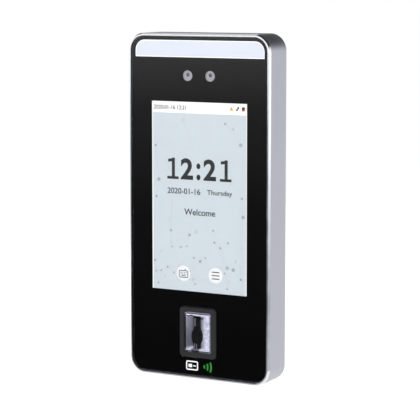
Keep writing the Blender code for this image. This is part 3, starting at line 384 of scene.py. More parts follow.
WHITE = Finish(
    "satin_white", (0.74, 0.74, 0.78), 0.5, 0.0, Grain.MOULDED, 0.03, 0.03, 0.05, "white_plastic"
)
GREEN = Finish(
    "terminal_green", (0.03, 0.24, 0.07), 0.48, 0.0, Grain.MOULDED, 0.12, 0.05, 0.15, "green_plastic"
)
BLUE = Finish(
    "relay_blue", (0.03, 0.10, 0.36), 0.45, 0.0, Grain.MOULDED, 0.1, 0.05, 0.1, "blue_plastic"
)
BOARD = Finish(
    "solder_mask", (0.012, 0.080, 0.036), 0.38, 0.0, Grain.ROLLED, 0.25, 0.1, 0.2, "circuit_board"
)
FOAM = Finish("foam", (0.02, 0.02, 0.02), 0.9, 0.0, Grain.FOAM, 0.2, 0.1, 0.0, "foam_tape")
RUBBER = Finish("rubber", (0.02, 0.02, 0.02), 0.8, 0.0, Grain.MOULDED, 0.2, 0.05, 0.1, "rubber")
FILM = Finish("ribbon_film", (0.52, 0.25, 0.05), 0.35, 0.0, Grain.BRUSHED, 0.15, 0.05, 0.1, "ribbon")
TIN = Finish(
    "tinned_steel", (0.50, 0.51, 0.52), 0.32, 1.0, Grain.ROLLED, 0.08, 0.06, 0.2, "sheet_steel"
)
ZINC = Finish(
    "zinc_plate", (0.44, 0.45, 0.46), 0.38, 1.0, Grain.ROLLED, 0.16, 0.10, 0.35, "bracket_steel"
)
BRASS = Finish("turned_brass", (0.60, 0.42, 0.16), 0.28, 1.0, Grain.BRUSHED, 0.1, 0.05, 0.2, "brass")
SCREW = Finish(
    "nickel_screw", (0.40, 0.40, 0.41), 0.28, 1.0, Grain.POLISHED, 0.08, 0.05, 0.3, "screw_steel"
)
GOLD = Finish("gold_contact", (0.78, 0.55, 0.20), 0.22, 1.0, Grain.POLISHED, 0.05, 0.05, 0.1, "brass")
CHIP = Finish(
    "chip_resin", (0.022, 0.022, 0.024), 0.6, 0.0, Grain.MOULDED, 0.1, 0.08, 0.1, "black_plastic"
)


# --- modelling ---------------------------------------------------------------


def deselect() -> None:
    """Leave edit mode and deselect every object."""
    if bpy.context.object and bpy.context.object.mode != "OBJECT":
        bpy.ops.object.mode_set(mode="OBJECT")
    bpy.ops.object.select_all(action="DESELECT")


def activate(obj: bpy.types.Object) -> None:
    """Make one object the only selected and active one."""
    deselect()
    obj.select_set(True)
    bpy.context.view_layer.objects.active = obj


def settle(obj: bpy.types.Object) -> bpy.types.Object:
    """Put an object's place, turn and scale into its mesh."""
    activate(obj)
    bpy.ops.object.transform_apply(location=True, rotation=True, scale=True)
    return obj


def named(name: str) -> bpy.types.Object:
    """Name the object that was just added, and settle it."""
    obj = bpy.context.object
    obj.name = obj.data.name = name
    return settle(obj)


@contextmanager
def editing(obj: bpy.types.Object, mode: str = "FACE") -> Iterator[None]:
    """Edit mode on one object, with nothing selected.

    Args:
        obj: The mesh object.
        mode: VERT, EDGE or FACE.

    Yields:
        Nothing: the body of the with statement runs in edit mode.
    """
    activate(obj)
    bpy.ops.object.mode_set(mode="EDIT")
    bpy.ops.mesh.select_mode(type=mode)
    bpy.ops.mesh.select_all(action="DESELECT")
    yield
    bpy.ops.object.mode_set(mode="OBJECT")


def pick_faces(obj: bpy.types.Object, test: Callable[[Vector, Vector], bool]) -> None:
    """Select, in edit mode, the faces whose centre and normal pass the test."""
    mesh = bmesh.from_edit_mesh(obj.data)
    for face in mesh.faces:
        face.select_set(test(face.calc_center_median(), face.normal))
    bmesh.update_edit_mesh(obj.data)


def pick_edges(obj: bpy.types.Object, test: Callable[[Vector, Vector], bool]) -> None:
    """Select, in edit mode, the edges whose two ends pass the test."""
    mesh = bmesh.from_edit_mesh(obj.data)
    for edge in mesh.edges:
        edge.select_set(test(edge.verts[0].co, edge.verts[1].co))
    bmesh.update_edit_mesh(obj.data)


def block(name: str, x: Span, y: Span, z: Span) -> bpy.types.Object:
    """A box between three pairs of places."""
    deselect()
    middle = [(low + high) / 2 for low, high in (x, y, z)]
    bpy.ops.mesh.primitive_cube_add(size=1.0, location=middle)
    bpy.context.object.scale = [high - low for low, high in (x, y, z)]
    return named(name)


def slab(
    name: str, x: Span, y: Span, z: Span, radius: float, steps: int = 10, top_only: bool = False
) -> bpy.types.Object:
    """A plate that faces -Y, with its corners rounded.

    Args:
        name: The object's name.
        x: Lowest and highest X.
        y: Lowest and highest Y.
        z: Lowest and highest Z.
        radius: Corner radius.
        steps: Segments in each corner.
        top_only: Round the two upper corners only.

    Returns:
        The plate.
    """
    plate = block(name, x, y, z)
    middle = (z[0] + z[1]) / 2
    with editing(plate, "EDGE"):
        pick_edges(
            plate, lambda a, b: abs((b - a).normalized().y) > 0.9 and (not top_only or a.z > middle)
        )
        bpy.ops.mesh.bevel(offset=radius, segments=steps, affect="EDGES")
    return plate


AXIS_TURN = {
    "X": (0.0, math.pi / 2, 0.0),
    "Y": (math.pi / 2, 0.0, 0.0),
    "Z": (0.0, 0.0, 0.0),
}


def rod(
    name: str, radius: float, span: Span, at: Span, along: str = "Y", sides: int = 32
) -> bpy.types.Object:
    """A cylinder over a span of one axis; at gives its other two places, in XYZ order."""
    deselect()
    centre = list(at)
    centre.insert("XYZ".index(along), (span[0] + span[1]) / 2)
    bpy.ops.mesh.primitive_cylinder_add(
        vertices=sides, radius=radius, depth=span[1] - span[0], location=centre, rotation=AXIS_TURN[along]
    )
    return named(name)


def combine(target: bpy.types.Object, tool: bpy.types.Object, operation: str) -> None:
    """Apply one Boolean of a tool to the target, and remove the tool."""
    activate(target)
    step = target.modifiers.new("shape", "BOOLEAN")
    step.operation = operation
    step.solver = "EXACT"
    step.object = tool
    bpy.ops.object.modifier_apply(modifier=step.name)
    bpy.data.objects.remove(tool, do_unlink=True)


def cut(target: bpy.types.Object, *tools: bpy.types.Object) -> None:
    """Cut the tools out of the target."""
    for tool in tools:
        combine(target, tool, "DIFFERENCE")


def even_out(obj: bpy.types.Object, angle: float) -> None:
    """Shade an object smooth below an angle, with its flat faces left truly flat."""
    activate(obj)
    bpy.ops.object.shade_smooth_by_angle(angle=math.radians(angle))
    weighting = obj.modifiers.new("weighting", "WEIGHTED_NORMAL")
    weighting.keep_sharp = True
    weighting.weight = 100
    bpy.ops.object.modifier_apply(modifier=weighting.name)


def soften(obj: bpy.types.Object, width: float, steps: int = 2, angle: float = 32.0) -> None:
    """Round the sharp edges of an object and shade it smooth."""
    activate(obj)
    rounding = obj.modifiers.new("rounding", "BEVEL")
    rounding.width = width
    rounding.segments = steps
    rounding.limit_method = "ANGLE"
    rounding.angle_limit = math.radians(angle)
    bpy.ops.object.modifier_apply(modifier=rounding.name)
    even_out(obj, angle)


def merge(name: str, parts: Sequence[bpy.types.Object]) -> bpy.types.Object:
    """Join several objects into one of the given name."""
    deselect()
    for part in parts:
        part.select_set(True)
    bpy.context.view_layer.objects.active = parts[0]
    if len(parts) > 1:
        bpy.ops.object.join()
    return named(name)


def shifted_copy(obj: bpy.types.Object, name: str, shift: Place) -> bpy.types.Object:
    """A copy with its own mesh, moved by a shift."""
    copy = bpy.data.objects.new(name, obj.data.copy())
    copy.data.transform(Matrix.Translation(shift))
    bpy.context.scene.collection.objects.link(copy)
    return copy


def refined(node: str, name: str, width: float, steps: int = 2) -> bpy.types.Object:
    """A copy of a frame node with its facets merged and its edges rounded.

    Args:
        node: The node to copy.
        name: The new piece's name.
        width: Edge rounding.
        steps: Segments of the rounding.

    Returns:
        The new piece.
    """
    piece = shifted_copy(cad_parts[node], name, (0.0, 0.0, 0.0))
    piece.data.materials.clear()
    with editing(piece, "VERT"):
        bpy.ops.mesh.select_all(action="SELECT")
        bpy.ops.mesh.remove_doubles(threshold=0.000002)
        bpy.ops.mesh.dissolve_limited(angle_limit=math.radians(0.6))
    soften(piece, width, steps)
    return piece


def stroke(name: str, start: Span, end: Span, y: float, thick: float, width: float) -> bpy.types.Object:
    """A straight flat stroke between two places of one XZ plane."""
    deselect()
    middle = ((start[0] + end[0]) / 2, y, (start[1] + end[1]) / 2)
    turn = -math.atan2(end[1] - start[1], end[0] - start[0])
    bpy.ops.mesh.primitive_cube_add(size=1.0, location=middle, rotation=(0.0, turn, 0.0))
    bpy.context.object.scale = (math.dist(start, end), thick, width)
    return named(name)


def lettering(
    name: str, text: str, left: float, width: float, z: Span, y: float, weight: float = 0.012
) -> bpy.types.Object:
    """Upright lettering fitted between two heights and to a width, as a thin solid.

    Args:
        name: The piece's name.
        text: What it says.
        left: X of its left edge.
        width: Its width.
        z: Its lowest and highest Z.
        y: The Y of its back.
        weight: How much its strokes are thickened.

    Returns:
        The lettering.
    """
    deselect()
    bpy.ops.object.text_add(location=(0.0, 0.0, 0.0))
    letters = bpy.context.object
    letters.data.body = text
    letters.data.extrude = 0.05
    letters.data.offset = weight
    bpy.ops.object.convert(target="MESH")
    letters = bpy.context.object
    points = [vert.co for vert in letters.data.vertices]
    low_x, high_x = min(p.x for p in points), max(p.x for p in points)
    low_y, high_y = min(p.y for p in points), max(p.y for p in points)
    scale_x, scale_z = width / (high_x - low_x), (z[1] - z[0]) / (high_y - low_y)
    for vert in letters.data.vertices:
        across, up, depth = vert.co
        vert.co = (
            left + (across - low_x) * scale_x,
            y - SKIN * (depth + 0.05) * 5,
            z[0] + (up - low_y) * scale_z,
        )
    with editing(letters, "VERT"):
        bpy.ops.mesh.select_all(action="SELECT")
        bpy.ops.mesh.remove_doubles(threshold=0.0000005)
        bpy.ops.mesh.normals_make_consistent(inside=False)
    return named(name)


def dress(
    obj: bpy.types.Object, body: str, *finishes: Surface, stands_for: Sequence[str] = ()
) -> bpy.types.Object:
    """Give a new piece its finishes, its body and the nodes that it stands for."""
    if len(obj.data.materials) == 0:
        for finish in finishes:
            obj.data.materials.append(finish.material())
    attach(obj, body)
    if stands_for:
        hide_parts(*stands_for)
    LOG.info("piece %s: %d faces, rides on %s", obj.name, len(obj.data.polygons), body)
    return obj


def rebuild(
    node: str, name: str, finish: Surface, width: float, steps: int = 2, body: str = "terminal"
) -> bpy.types.Object:
    """Stand a refined and dressed copy in for one frame node."""
    return dress(refined(node, name, width, steps), body, finish, stands_for=[node])


def dress_node(node: str, finish: Surface) -> None:
    """Give a frame node that stays as it is a finish."""
    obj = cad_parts[node]
    obj.data.materials.clear()
    obj.data.materials.append(finish.material())
    LOG.info("node %s: %s", node, finish.name)


def spans(node: str) -> tuple[Span, Span, Span]:
    """A frame node's lowest and highest X, Y and Z."""
    low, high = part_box(node)
    return (low.x, high.x), (low.y, high.y), (low.z, high.z)


def grown(span: Span, by: float) -> Span:
    """A span made longer at both ends."""
    return (span[0] - by, span[1] + by)


def centred(middle: float, width: float) -> Span:
    """The span of a width about a middle."""
    return (middle - width / 2, middle + width / 2)


def centre_of(span: Span) -> float:
    """The middle of a span."""
    return (span[0] + span[1]) / 2


def lit_area() -> tuple[Span, Span]:
    """The X and Z spans of the part of the panel that is lit."""
    x, _, z = spans("display_panel")
    side, foot, top = PANEL_EDGE
    return grown(x, -side), (z[0] + foot, z[1] - top)


def round_upright(obj: bpy.types.Object, radius: float, steps: int = 6) -> bpy.types.Object:
    """Round the edges of a block that run along Z."""
    with editing(obj, "EDGE"):
        pick_edges(obj, lambda a, b: abs((b - a).normalized().z) > 0.9)
        bpy.ops.mesh.bevel(offset=radius, segments=steps, affect="EDGES")
    return obj


TERMINAL = "terminal"


# --- sub-assemblies ----------------------------------------------------------


@dataclass
class HousingFrame:
    """The aluminium ring, with its polished lip and its blasted sides."""

    corner: float = 10.0 * MM
    chamfer_width: float = 0.8 * MM
    chamfer_depth: float = 1.7 * MM
    wall: float = 2.2 * MM
    ledge: float = 2.2 * MM
    ledge_overlap: float = 1.55 * MM
    glass_fit: float = 0.25 * MM
    lip_round: float = 0.18 * MM
    notch_half: float = 9.0 * MM
    usb_corner: float = 1.5 * MM
    sound_slots: int = 5
    sound_pitch: float = 2.8 * MM
    sound_width: float = 1.4 * MM

    def build(self) -> None:
        """Build and dress the ring."""
        x, y, z = spans("housing_frame")
        glass_x, glass_y, glass_z = spans("front_glass")
        fit, steps = self.glass_fit, CORNER_STEPS
        body = slab("frame_shell", x, (y[0] + self.chamfer_depth, y[1]), z, self.corner, steps)
        with editing(body):
            pick_faces(body, lambda centre, normal: normal.y < -0.9)
            bpy.ops.mesh.inset(thickness=self.chamfer_width, depth=self.chamfer_depth, use_even_offset=True)
        with editing(body, "EDGE"):
            pick_edges(body, lambda a, b: max(a.y, b.y) < y[0] + 0.0001 * MM)
            bpy.ops.mesh.bevel(offset=self.lip_round, segments=3, affect="EDGES")
        seat_x, seat_z = grown(glass_x, fit), grown(glass_z, fit)
        glass_r = self.corner - (glass_x[0] - x[0])
        ledge_front = spans("glass_tape")[1][1] + 0.3 * MM
        ledge_back = ledge_front + self.ledge
        inner_x, inner_z = grown(glass_x, -self.ledge_overlap), grown(glass_z, -self.ledge_overlap)
        cavity_x, cavity_z = grown(x, -self.wall), grown(z, -self.wall)
        ledge_r = glass_r - self.ledge_overlap
        cut(
            body,
            slab("seat", seat_x, (y[0] - OVER, ledge_front), seat_z, glass_r + fit, steps),
            slab("ledge_hole", inner_x, (y[0], ledge_back + OVER), inner_z, ledge_r, steps),
            slab("cavity", cavity_x, (ledge_back, y[1] + OVER), cavity_z, self.corner - self.wall, steps),
        )
        self._open_underside(body, z)
        even_out(body, 24)
        for finish in (BLASTED, POLISHED):
            body.data.materials.append(finish.material())
        edge = y[0] + self.chamfer_depth + 0.02 * MM
        for face in body.data.polygons:
            face.material_index = 1 if face.center.y < edge else 0
        dress(body, TERMINAL, BLASTED, stands_for=["housing_frame"])

    def _open_underside(self, body: bpy.types.Object, z: Span) -> None:
        """Cut the lock notch, the service port and the sound slots in the lower wall."""
        wall = (z[0] - OVER, z[0] + self.wall + OVER)
        rear = spans("housing_frame")[1][1]
        flange_front = spans("wall_bracket")[1][0] - 0.7 * MM
        notch = block("notch", centred(0.0, 2 * self.notch_half), (flange_front, rear + OVER), wall)
        usb_x, usb_y, _ = spans("usb_port")
        usb = block("usb_way", grown(usb_x, 0.6 * MM), grown(usb_y, 0.3 * MM), wall)
        cut(body, notch, round_upright(usb, self.usb_corner))
        speaker_x, speaker_y, _ = spans("speaker")
        for number in range(self.sound_slots):
            middle = centre_of(speaker_x) + (number - self.sound_slots // 2) * self.sound_pitch
            slot_x = centred(middle, self.sound_width)
            slot = block("sound_slot", slot_x, grown(speaker_y, -0.5 * MM), wall)
            cut(body, round_upright(slot, self.sound_width / 2 - 0.05 * MM))


@dataclass
class CoverGlass:
    """The clear glass, the black print behind it, and the printed mark."""

    corner: float = 8.15 * MM
    camera_window: float = 3.05 * MM
    sensor_gap: float = 0.3 * MM
    bezel_corner: float = 2.8 * MM
    mic_radius: float = 0.6 * MM
    mark_rim: float = 0.75 * MM
    wave_radii: Sequence[float] = (2.2 * MM, 4.4 * MM, 6.6 * MM)
    wave_width: float = 1.05 * MM
    wave_half_angle: float = 26.0

    def build(self) -> None:
        """Build and dress the glass, its print and the mark."""
        x, y, z = spans("front_glass")
        glass = slab("clear_cover", x, y, z, self.corner, CORNER_STEPS)
        self._cut_sensor_and_mic(glass, y)
        soften(glass, 0.12 * MM, 2, 50)
        dress(glass, TERMINAL, COVER, stands_for=["front_glass"])
        back = (y[1] - 2 * SKIN, y[1] - SKIN)
        print_x, print_z = grown(x, -0.1 * MM), grown(z, -0.1 * MM)
        layer = slab("glass_print", print_x, back, print_z, self.corner, CORNER_STEPS)
        self._cut_sensor_and_mic(layer, back)
        bar_x, _, bar_z = spans("light_diffuser")
        through = grown(back, OVER)
        cut(layer, slab("bar_window", bar_x, through, bar_z, BAR_CORNER, CORNER_STEPS, top_only=True))
        screen_x, screen_z = lit_area()
        cut(layer, block("screen_window", screen_x, through, screen_z))
        for side in ("left", "right"):
            eye_x, _, eye_z = spans(f"camera_lens_{side}")
            at = (centre_of(eye_x), centre_of(eye_z))
            cut(layer, rod("eye_window", self.camera_window, through, at, sides=64))
        dress(layer, TERMINAL, PRINT_AND_SHADE)
        self._build_mark(back[0] - 0.5 * SKIN)

    def _cut_sensor_and_mic(self, target: bpy.types.Object, y: Span) -> None:
        """Open the sensor's hole and the microphone's in a plate."""
        body_x, _, body_z = spans("fingerprint_bezel")
        margin = self.sensor_gap - BEZEL_FLANGE
        hole_x, hole_z = grown(body_x, margin), grown(body_z, margin)
        cut(target, slab("sensor_hole", hole_x, grown(y, OVER), hole_z, self.bezel_corner, 10))
        mic_x, _, mic_z = spans("microphone")
        cut(target, rod("mic_hole", self.mic_radius, grown(y, OVER), (centre_of(mic_x), centre_of(mic_z))))

    def _build_mark(self, y: float) -> None:
        """A plain card with three waves beside it, printed under the sensor, in inks that glow as painted
        light.
        """
        low = spans("front_glass")[2][0] + 3.2 * MM
        ink = (y - SKIN, y)
        card = slab("mark_card", (-8.6 * MM, -0.6 * MM), ink, (low, low + 5.6 * MM), 1.1 * MM, 6)
        with editing(card):
            for facing in (-1, 1):
                pick_faces(card, lambda centre, normal: normal.y * facing > 0.9)
                bpy.ops.mesh.inset(thickness=self.mark_rim)
                bpy.ops.mesh.delete(type="FACE")
        with editing(card, "EDGE"):
            bpy.ops.mesh.select_non_manifold()
            bpy.ops.mesh.bridge_edge_loops()
        chip_z, line_z = (low + 1.7 * MM, low + 3.7 * MM), (low + 2.4 * MM, low + 3.0 * MM)
        chip = slab("mark_chip", (-7.0 * MM, -4.6 * MM), ink, chip_z, 0.4 * MM, 4)
        line = block("mark_line", (-3.9 * MM, -1.9 * MM), ink, line_z)
        dress(merge("mark_white_card", [card, chip, line]), TERMINAL, MARK_WHITE)
        waves = [self._wave(radius, y, low + 2.8 * MM) for radius in self.wave_radii]
        dress(merge("mark_green_waves", waves), TERMINAL, MARK_GREEN)

    def _wave(self, radius: float, y: float, z: float) -> bpy.types.Object:
        """One arc of the mark: a ring with all but a sector on its right cut away."""
        at, wide = (1.4 * MM, z), self.wave_width
        back = (y - SKIN, y)
        arc = rod("wave", radius + wide / 2, back, at, sides=96)
        cut(arc, rod("wave_inner", radius - wide / 2, grown(back, OVER), at, sides=96))
        reach = 12 * MM
        half = math.radians(self.wave_half_angle)
        for turn in (half, -half):
            far = (z, z + reach) if turn > 0 else (z - reach, z)
            edge = block("wave_edge", (at[0] - reach, at[0] + reach), grown(back, OVER), far)
            pivot = Matrix.Translation((at[0], 0.0, z))
            edge.data.transform(pivot @ Matrix.Rotation(-turn, 4, "Y") @ pivot.inverted())
            cut(arc, edge)
        return arc


@dataclass
class LightBar:
    """The lit bar along the top, brighter at its edge."""

    edge: float = 0.45 * MM

    def build(self) -> None:
        """Build and dress the bar."""
        x, y, z = spans("light_diffuser")
        bar = slab("light_bar", x, y, z, BAR_CORNER, CORNER_STEPS, top_only=True)
        with editing(bar):
            pick_faces(bar, lambda centre, normal: normal.y < -0.9)
            bpy.ops.mesh.inset(thickness=self.edge)
        for finish in (BAR, BAR_EDGE):
            bar.data.materials.append(finish.material())
        fronts = [face for face in bar.data.polygons if face.normal.y < -0.9]
        widest = max(fronts, key=lambda face: face.area)
        for face in bar.data.polygons:
            face.material_index = 0 if face.index == widest.index else 1
        dress(bar, TERMINAL, BAR, stands_for=["light_diffuser"])
        dress_node("light_board", WHITE)


@dataclass
class CameraPair:
    """Two small cameras, each a pale dish with a dark pupil under a coated lens."""

    barrel: float = 3.3 * MM
    pupil: float = 1.15 * MM
    iris: float = 0.62 * MM
    pupil_raised: float = 0.5 * MM
    dish_depth: float = 0.9 * MM

    def build(self) -> None:
        """Build and dress both cameras and their carrier pieces."""
        for side in ("left", "right"):
            self._camera(side)
        dress_node("camera_holder", BLACK)
        dress_node("camera_board", BOARD)
        dress_node("camera_ribbon", FILM)

    def _camera(self, side: str) -> None:
        """One camera: barrel with its dish, and the lens on it."""
        x, y, z = spans(f"camera_barrel_{side}")
        at = (centre_of(x), centre_of(z))
        eye = (at[0], at[1] + self.pupil_raised)
        barrel = rod(f"eye_{side}", self.barrel, y, at, sides=64)
        well = rod("eye_well", self.pupil, (y[0] - OVER, y[0] + self.dish_depth), eye, sides=48)
        cut(barrel, well)
        floor = y[0] + self.dish_depth
        with editing(barrel):
            near = 0.1 * MM
            pick_faces(barrel, lambda centre, normal: normal.y < -0.9 and abs(centre.y - floor) < near)
            bpy.ops.mesh.inset(thickness=self.pupil - self.iris)
            bpy.ops.mesh.inset(thickness=0.1 * MM, depth=-0.15 * MM)
        soften(barrel, 0.08 * MM, 2, 50)
        for finish in (DISH, PUPIL, IRIS):
            barrel.data.materials.append(finish.material())
        for face in barrel.data.polygons:
            away = (face.center.xz - Vector(eye)).length
            if away < self.pupil and face.center.y > y[0] + 0.05 * MM and face.normal.y < 0.5:
                face.material_index = 2 if away < self.iris - 0.1 * MM else 1
        dress(barrel, TERMINAL, DISH, stands_for=[f"camera_barrel_{side}"])
        deselect()
        lens_y = floor - 0.35 * MM
        at = (eye[0], lens_y, eye[1])
        bpy.ops.mesh.primitive_uv_sphere_add(segments=40, ring_count=20, radius=1.0, location=at)
        bpy.context.object.scale = (0.95 * self.pupil, 0.30 * MM, 0.95 * self.pupil)
        lens = named(f"eye_lens_{side}")
        activate(lens)
        bpy.ops.object.shade_smooth()
        dress(lens, TERMINAL, LENS, stands_for=[f"camera_lens_{side}"])


@dataclass
class Screen:
    """The lit screen and what it shows: a clock, a date, a greeting and two buttons."""

    side_edge: float = 0.6 * MM
    status_height: float = 6.6 * MM
    dots: int = 52
    seed: int = 7
    datum_drop: float = 6.3 * MM
    layer: float = field(init=False, default=0.0)
    x: Span = field(init=False, default=(0.0, 0.0))
    z: Span = field(init=False, default=(0.0, 0.0))
    datum: float = field(init=False, default=0.0)

    def build(self) -> None:
        """Build and dress the panel and everything drawn on it."""
        x, y, z = spans("display_panel")
        self.layer = y[0]
        self.x, self.z = lit_area()
        self.datum = centre_of(self.z) - self.datum_drop
        panel = slab("lit_panel", x, y, z, 0.5 * MM, 4)
        soften(panel, 0.05 * MM, 2, 50)
        dress(panel, TERMINAL, SCREEN, stands_for=["display_panel"])
        for node, finish in (("display_backlight", TIN), ("display_ribbon", FILM)):
            dress_node(node, finish)
        self._build_borders()
        self._build_network()
        self._build_words()
        self._build_buttons()
        self._build_status_icons()

    def _plate(self, name: str, x: Span, z: Span, level: int, radius: float = 0.0) -> bpy.types.Object:
        """A thin plate on the screen, at one of a few levels above it."""
        back = self.layer - 2 * SKIN * level
        y = (back - SKIN, back - 0.2 * SKIN)
        return slab(name, x, y, z, radius, 6) if radius else block(name, x, y, z)

    def _build_borders(self) -> None:
        """The white status strip and the white edges down both sides."""
        top = (self.z[1] - self.status_height, self.z[1])
        strip = self._plate("status_strip", self.x, top, 1)
        side = (self.z[0], top[0])
        left = self._plate("edge_left", (self.x[0], self.x[0] + self.side_edge), side, 1)
        right = self._plate("edge_right", (self.x[1] - self.side_edge, self.x[1]), side, 1)
        dress(merge("screen_borders", [strip, left, right]), TERMINAL, SCREEN_WHITE)

    def _build_network(self) -> None:
        """Scattered dots joined to their near neighbours, thicker in the lower part."""
        draw = random.Random(self.seed)
        inner = grown(self.x, -1.6 * MM)
        places = []
        while len(places) < self.dots:
            spot = (draw.uniform(*inner), draw.uniform(self.z[0] + 1.5 * MM, self.z[1] - 9 * MM))
            height = (spot[1] - self.z[0]) / (self.z[1] - self.z[0])
            rightward = (spot[0] - self.x[0]) / (self.x[1] - self.x[0])
            in_words = 0.40 < height < 0.74 and 0.12 < rightward < 0.88
            chance = 0.04 if in_words else 0.85 - 0.85 * height + 0.35 * rightward
            apart = all(math.dist(spot, other[:2]) > 3.0 * MM for other in places)
            if apart and draw.random() < chance:
                places.append((*spot, draw.choice((0.5, 0.6, 0.75, 0.9, 1.1)) * MM, draw.random()))
        inks = ((DOT_INK, 0.0, 0.62), (ROSE_INK, 0.62, 0.82), (LINE_INK, 0.82, 1.01))
        back = self.layer - 4 * SKIN
        for number, (ink, low, high) in enumerate(inks):
            chosen = [place for place in places if low <= place[3] < high]
            discs = [rod("dot", r, (back - SKIN, back), (x, z), sides=20) for x, z, r, _ in chosen]
            dress(merge(f"screen_dots_{number + 1}", discs), TERMINAL, ink)
        lines = []
        for number, (x, z, _, _) in enumerate(places):
            near = sorted(places[number + 1 :], key=lambda other: math.dist(other[:2], (x, z)))[:2]
            for end_x, end_z, _, _ in near:
                if math.dist((x, z), (end_x, end_z)) < 27 * MM:
                    y = self.layer - 2.5 * SKIN
                    lines.append(stroke("line", (x, z), (end_x, end_z), y, 0.6 * SKIN, 0.12 * MM))
        dress(merge("screen_lines", lines), TERMINAL, LINE_INK)

    def _build_words(self) -> None:
        """The clock, the date, the weekday, the greeting and the small status time."""
        y = self.layer - 6 * SKIN
        up = self.datum
        high = (up + 16.4 * MM, up + 28.8 * MM)
        digits = [
            self._one(-21.0 * MM, 7.5 * MM, high, y),
            lettering("two", "2", -12.1 * MM, 8.2 * MM, high, y, 0.030),
            lettering("colon", ":", -1.7 * MM, 2.6 * MM, (high[0], high[1] - 2.6 * MM), y, 0.030),
            lettering("two_again", "2", 2.9 * MM, 8.2 * MM, high, y, 0.030),
            self._one(13.6 * MM, 7.5 * MM, high, y),
        ]
        dress(merge("clock_digits", digits), TERMINAL, INK)
        words = (
            ("date_digits", "2020-01-16", -20.9, 21.7, (7.9, 11.3)),
            ("weekday_word", "Thursday", 5.3, 16.3, (7.4, 11.1)),
            ("greeting_word", "Welcome", -9.8, 20.4, (-4.2, -0.5)),
            ("status_digits", "2020-01-16 12:21", -29.9, 21.4, (56.9, 59.3)),
        )
        for name, text, left, width, (low, top) in words:
            piece = lettering(name, text, left * MM, width * MM, (up + low * MM, up + top * MM), y)
            dress(piece, TERMINAL, SOFT_INK)

    def _one(self, left: float, width: float, z: Span, y: float) -> bpy.types.Object:
        """The digit one: an upright with a foot bar and a flag."""
        back = (y - SKIN, y)
        middle = left + 0.54 * width
        digit = block("one", centred(middle, 2.0 * MM), back, z)
        foot = block("foot", (left, left + width), back, (z[0], z[0] + 1.55 * MM))
        flag = block("flag", (left + 0.08 * width, middle), back, (z[1] - 2.0 * MM, z[1] - 0.3 * MM))
        with editing(flag):
            pick_faces(flag, lambda centre, normal: normal.x < -0.9)
            bpy.ops.transform.translate(value=(0.0, 0.0, -0.5 * MM))
        for tool in (foot, flag):
            combine(digit, tool, "UNION")
        return digit

    def _build_buttons(self) -> None:
        """A round keypad button and a round menu button."""
        up = self.datum
        spots = ((-10.3 * MM, up - 38.7 * MM), (10.9 * MM, up - 38.5 * MM))
        back = self.layer - 6 * SKIN
        discs = [rod("disc", 4.5 * MM, (back - SKIN, back), at, sides=48) for at in spots]
        dress(merge("button_discs", discs), TERMINAL, PALE_INK)
        x, z = spots[0]
        low = z - 0.4 * MM
        keypad = self._plate("keypad", centred(x, 6.2 * MM), centred(low, 4.4 * MM), 4, 0.8 * MM)
        through = grown((back - OVER, back), OVER)
        cut(keypad, block("keypad_hole", centred(x, 5.2 * MM), through, centred(low, 3.4 * MM)))
        cord_z = (low + 2.2 * MM, low + 3.3 * MM)
        marks = [keypad, self._plate("cord", (x + 0.9 * MM, x + 1.3 * MM), cord_z, 4)]
        for row in (0.85, -0.05):
            for number in range(4):
                key_x = centred(x + (number - 1.5) * 1.1 * MM, 0.6 * MM)
                marks.append(self._plate("key", key_x, centred(low + row * MM, 0.5 * MM), 4))
        marks.append(self._plate("space_key", centred(x, 2.8 * MM), centred(low - 1.0 * MM, 0.5 * MM), 4))
        x, z = spots[1]
        for row in (-1.95, 0.0, 1.95):
            bar_z = centred(z + row * MM, 0.6 * MM)
            marks.append(self._plate("menu_bar", centred(x, 5.1 * MM), bar_z, 4, 0.25 * MM))
        dress(merge("button_marks", marks), TERMINAL, MARK_INK)

    def _build_status_icons(self) -> None:
        """A warning triangle, two small squares and a battery."""
        up = self.datum + 58.3 * MM
        deselect()
        back = self.layer - 7 * SKIN
        bpy.ops.mesh.primitive_cylinder_add(
            vertices=3, radius=1.5 * MM, depth=SKIN, location=(21.0 * MM, back, up - 0.2 * MM),
            rotation=(math.pi / 2, 0.0, 0.0),
        )
        triangle = named("warning_triangle")
        heights = [vert.co.z for vert in triangle.data.vertices]
        if max(heights) - up < up - min(heights):
            lifted, lowered = Matrix.Translation((0, 0, up)), Matrix.Translation((-42.0 * MM, 0, -up))
            triangle.data.transform(lifted @ Matrix.Rotation(math.pi, 4, "Y") @ lowered)
        soften(triangle, 0.08 * MM, 2, 40)
        dress(triangle, TERMINAL, YELLOW_INK)
        marks = [
            self._plate("warning_bar", centred(21.0 * MM, 0.3 * MM), (up - 0.1 * MM, up + 0.6 * MM), 5),
            self._plate("square_one", (24.0 * MM, 25.1 * MM), (up - 1.0 * MM, up + 0.1 * MM), 3, 0.2 * MM),
            self._plate("square_two", (24.8 * MM, 25.9 * MM), (up + 0.1 * MM, up + 1.2 * MM), 3, 0.2 * MM),
            self._plate("battery", (27.7 * MM, 29.6 * MM), (up - 1.1 * MM, up + 1.2 * MM), 3, 0.3 * MM),
        ]
        dress(merge("status_marks", marks), TERMINAL, INK)
        level_z = (up - 1.0 * MM, up - 0.1 * MM)
        level = self._plate("battery_level", (28.3 * MM, 29.5 * MM), level_z, 5, 0.1 * MM)
        dress(level, TERMINAL, RED_INK)


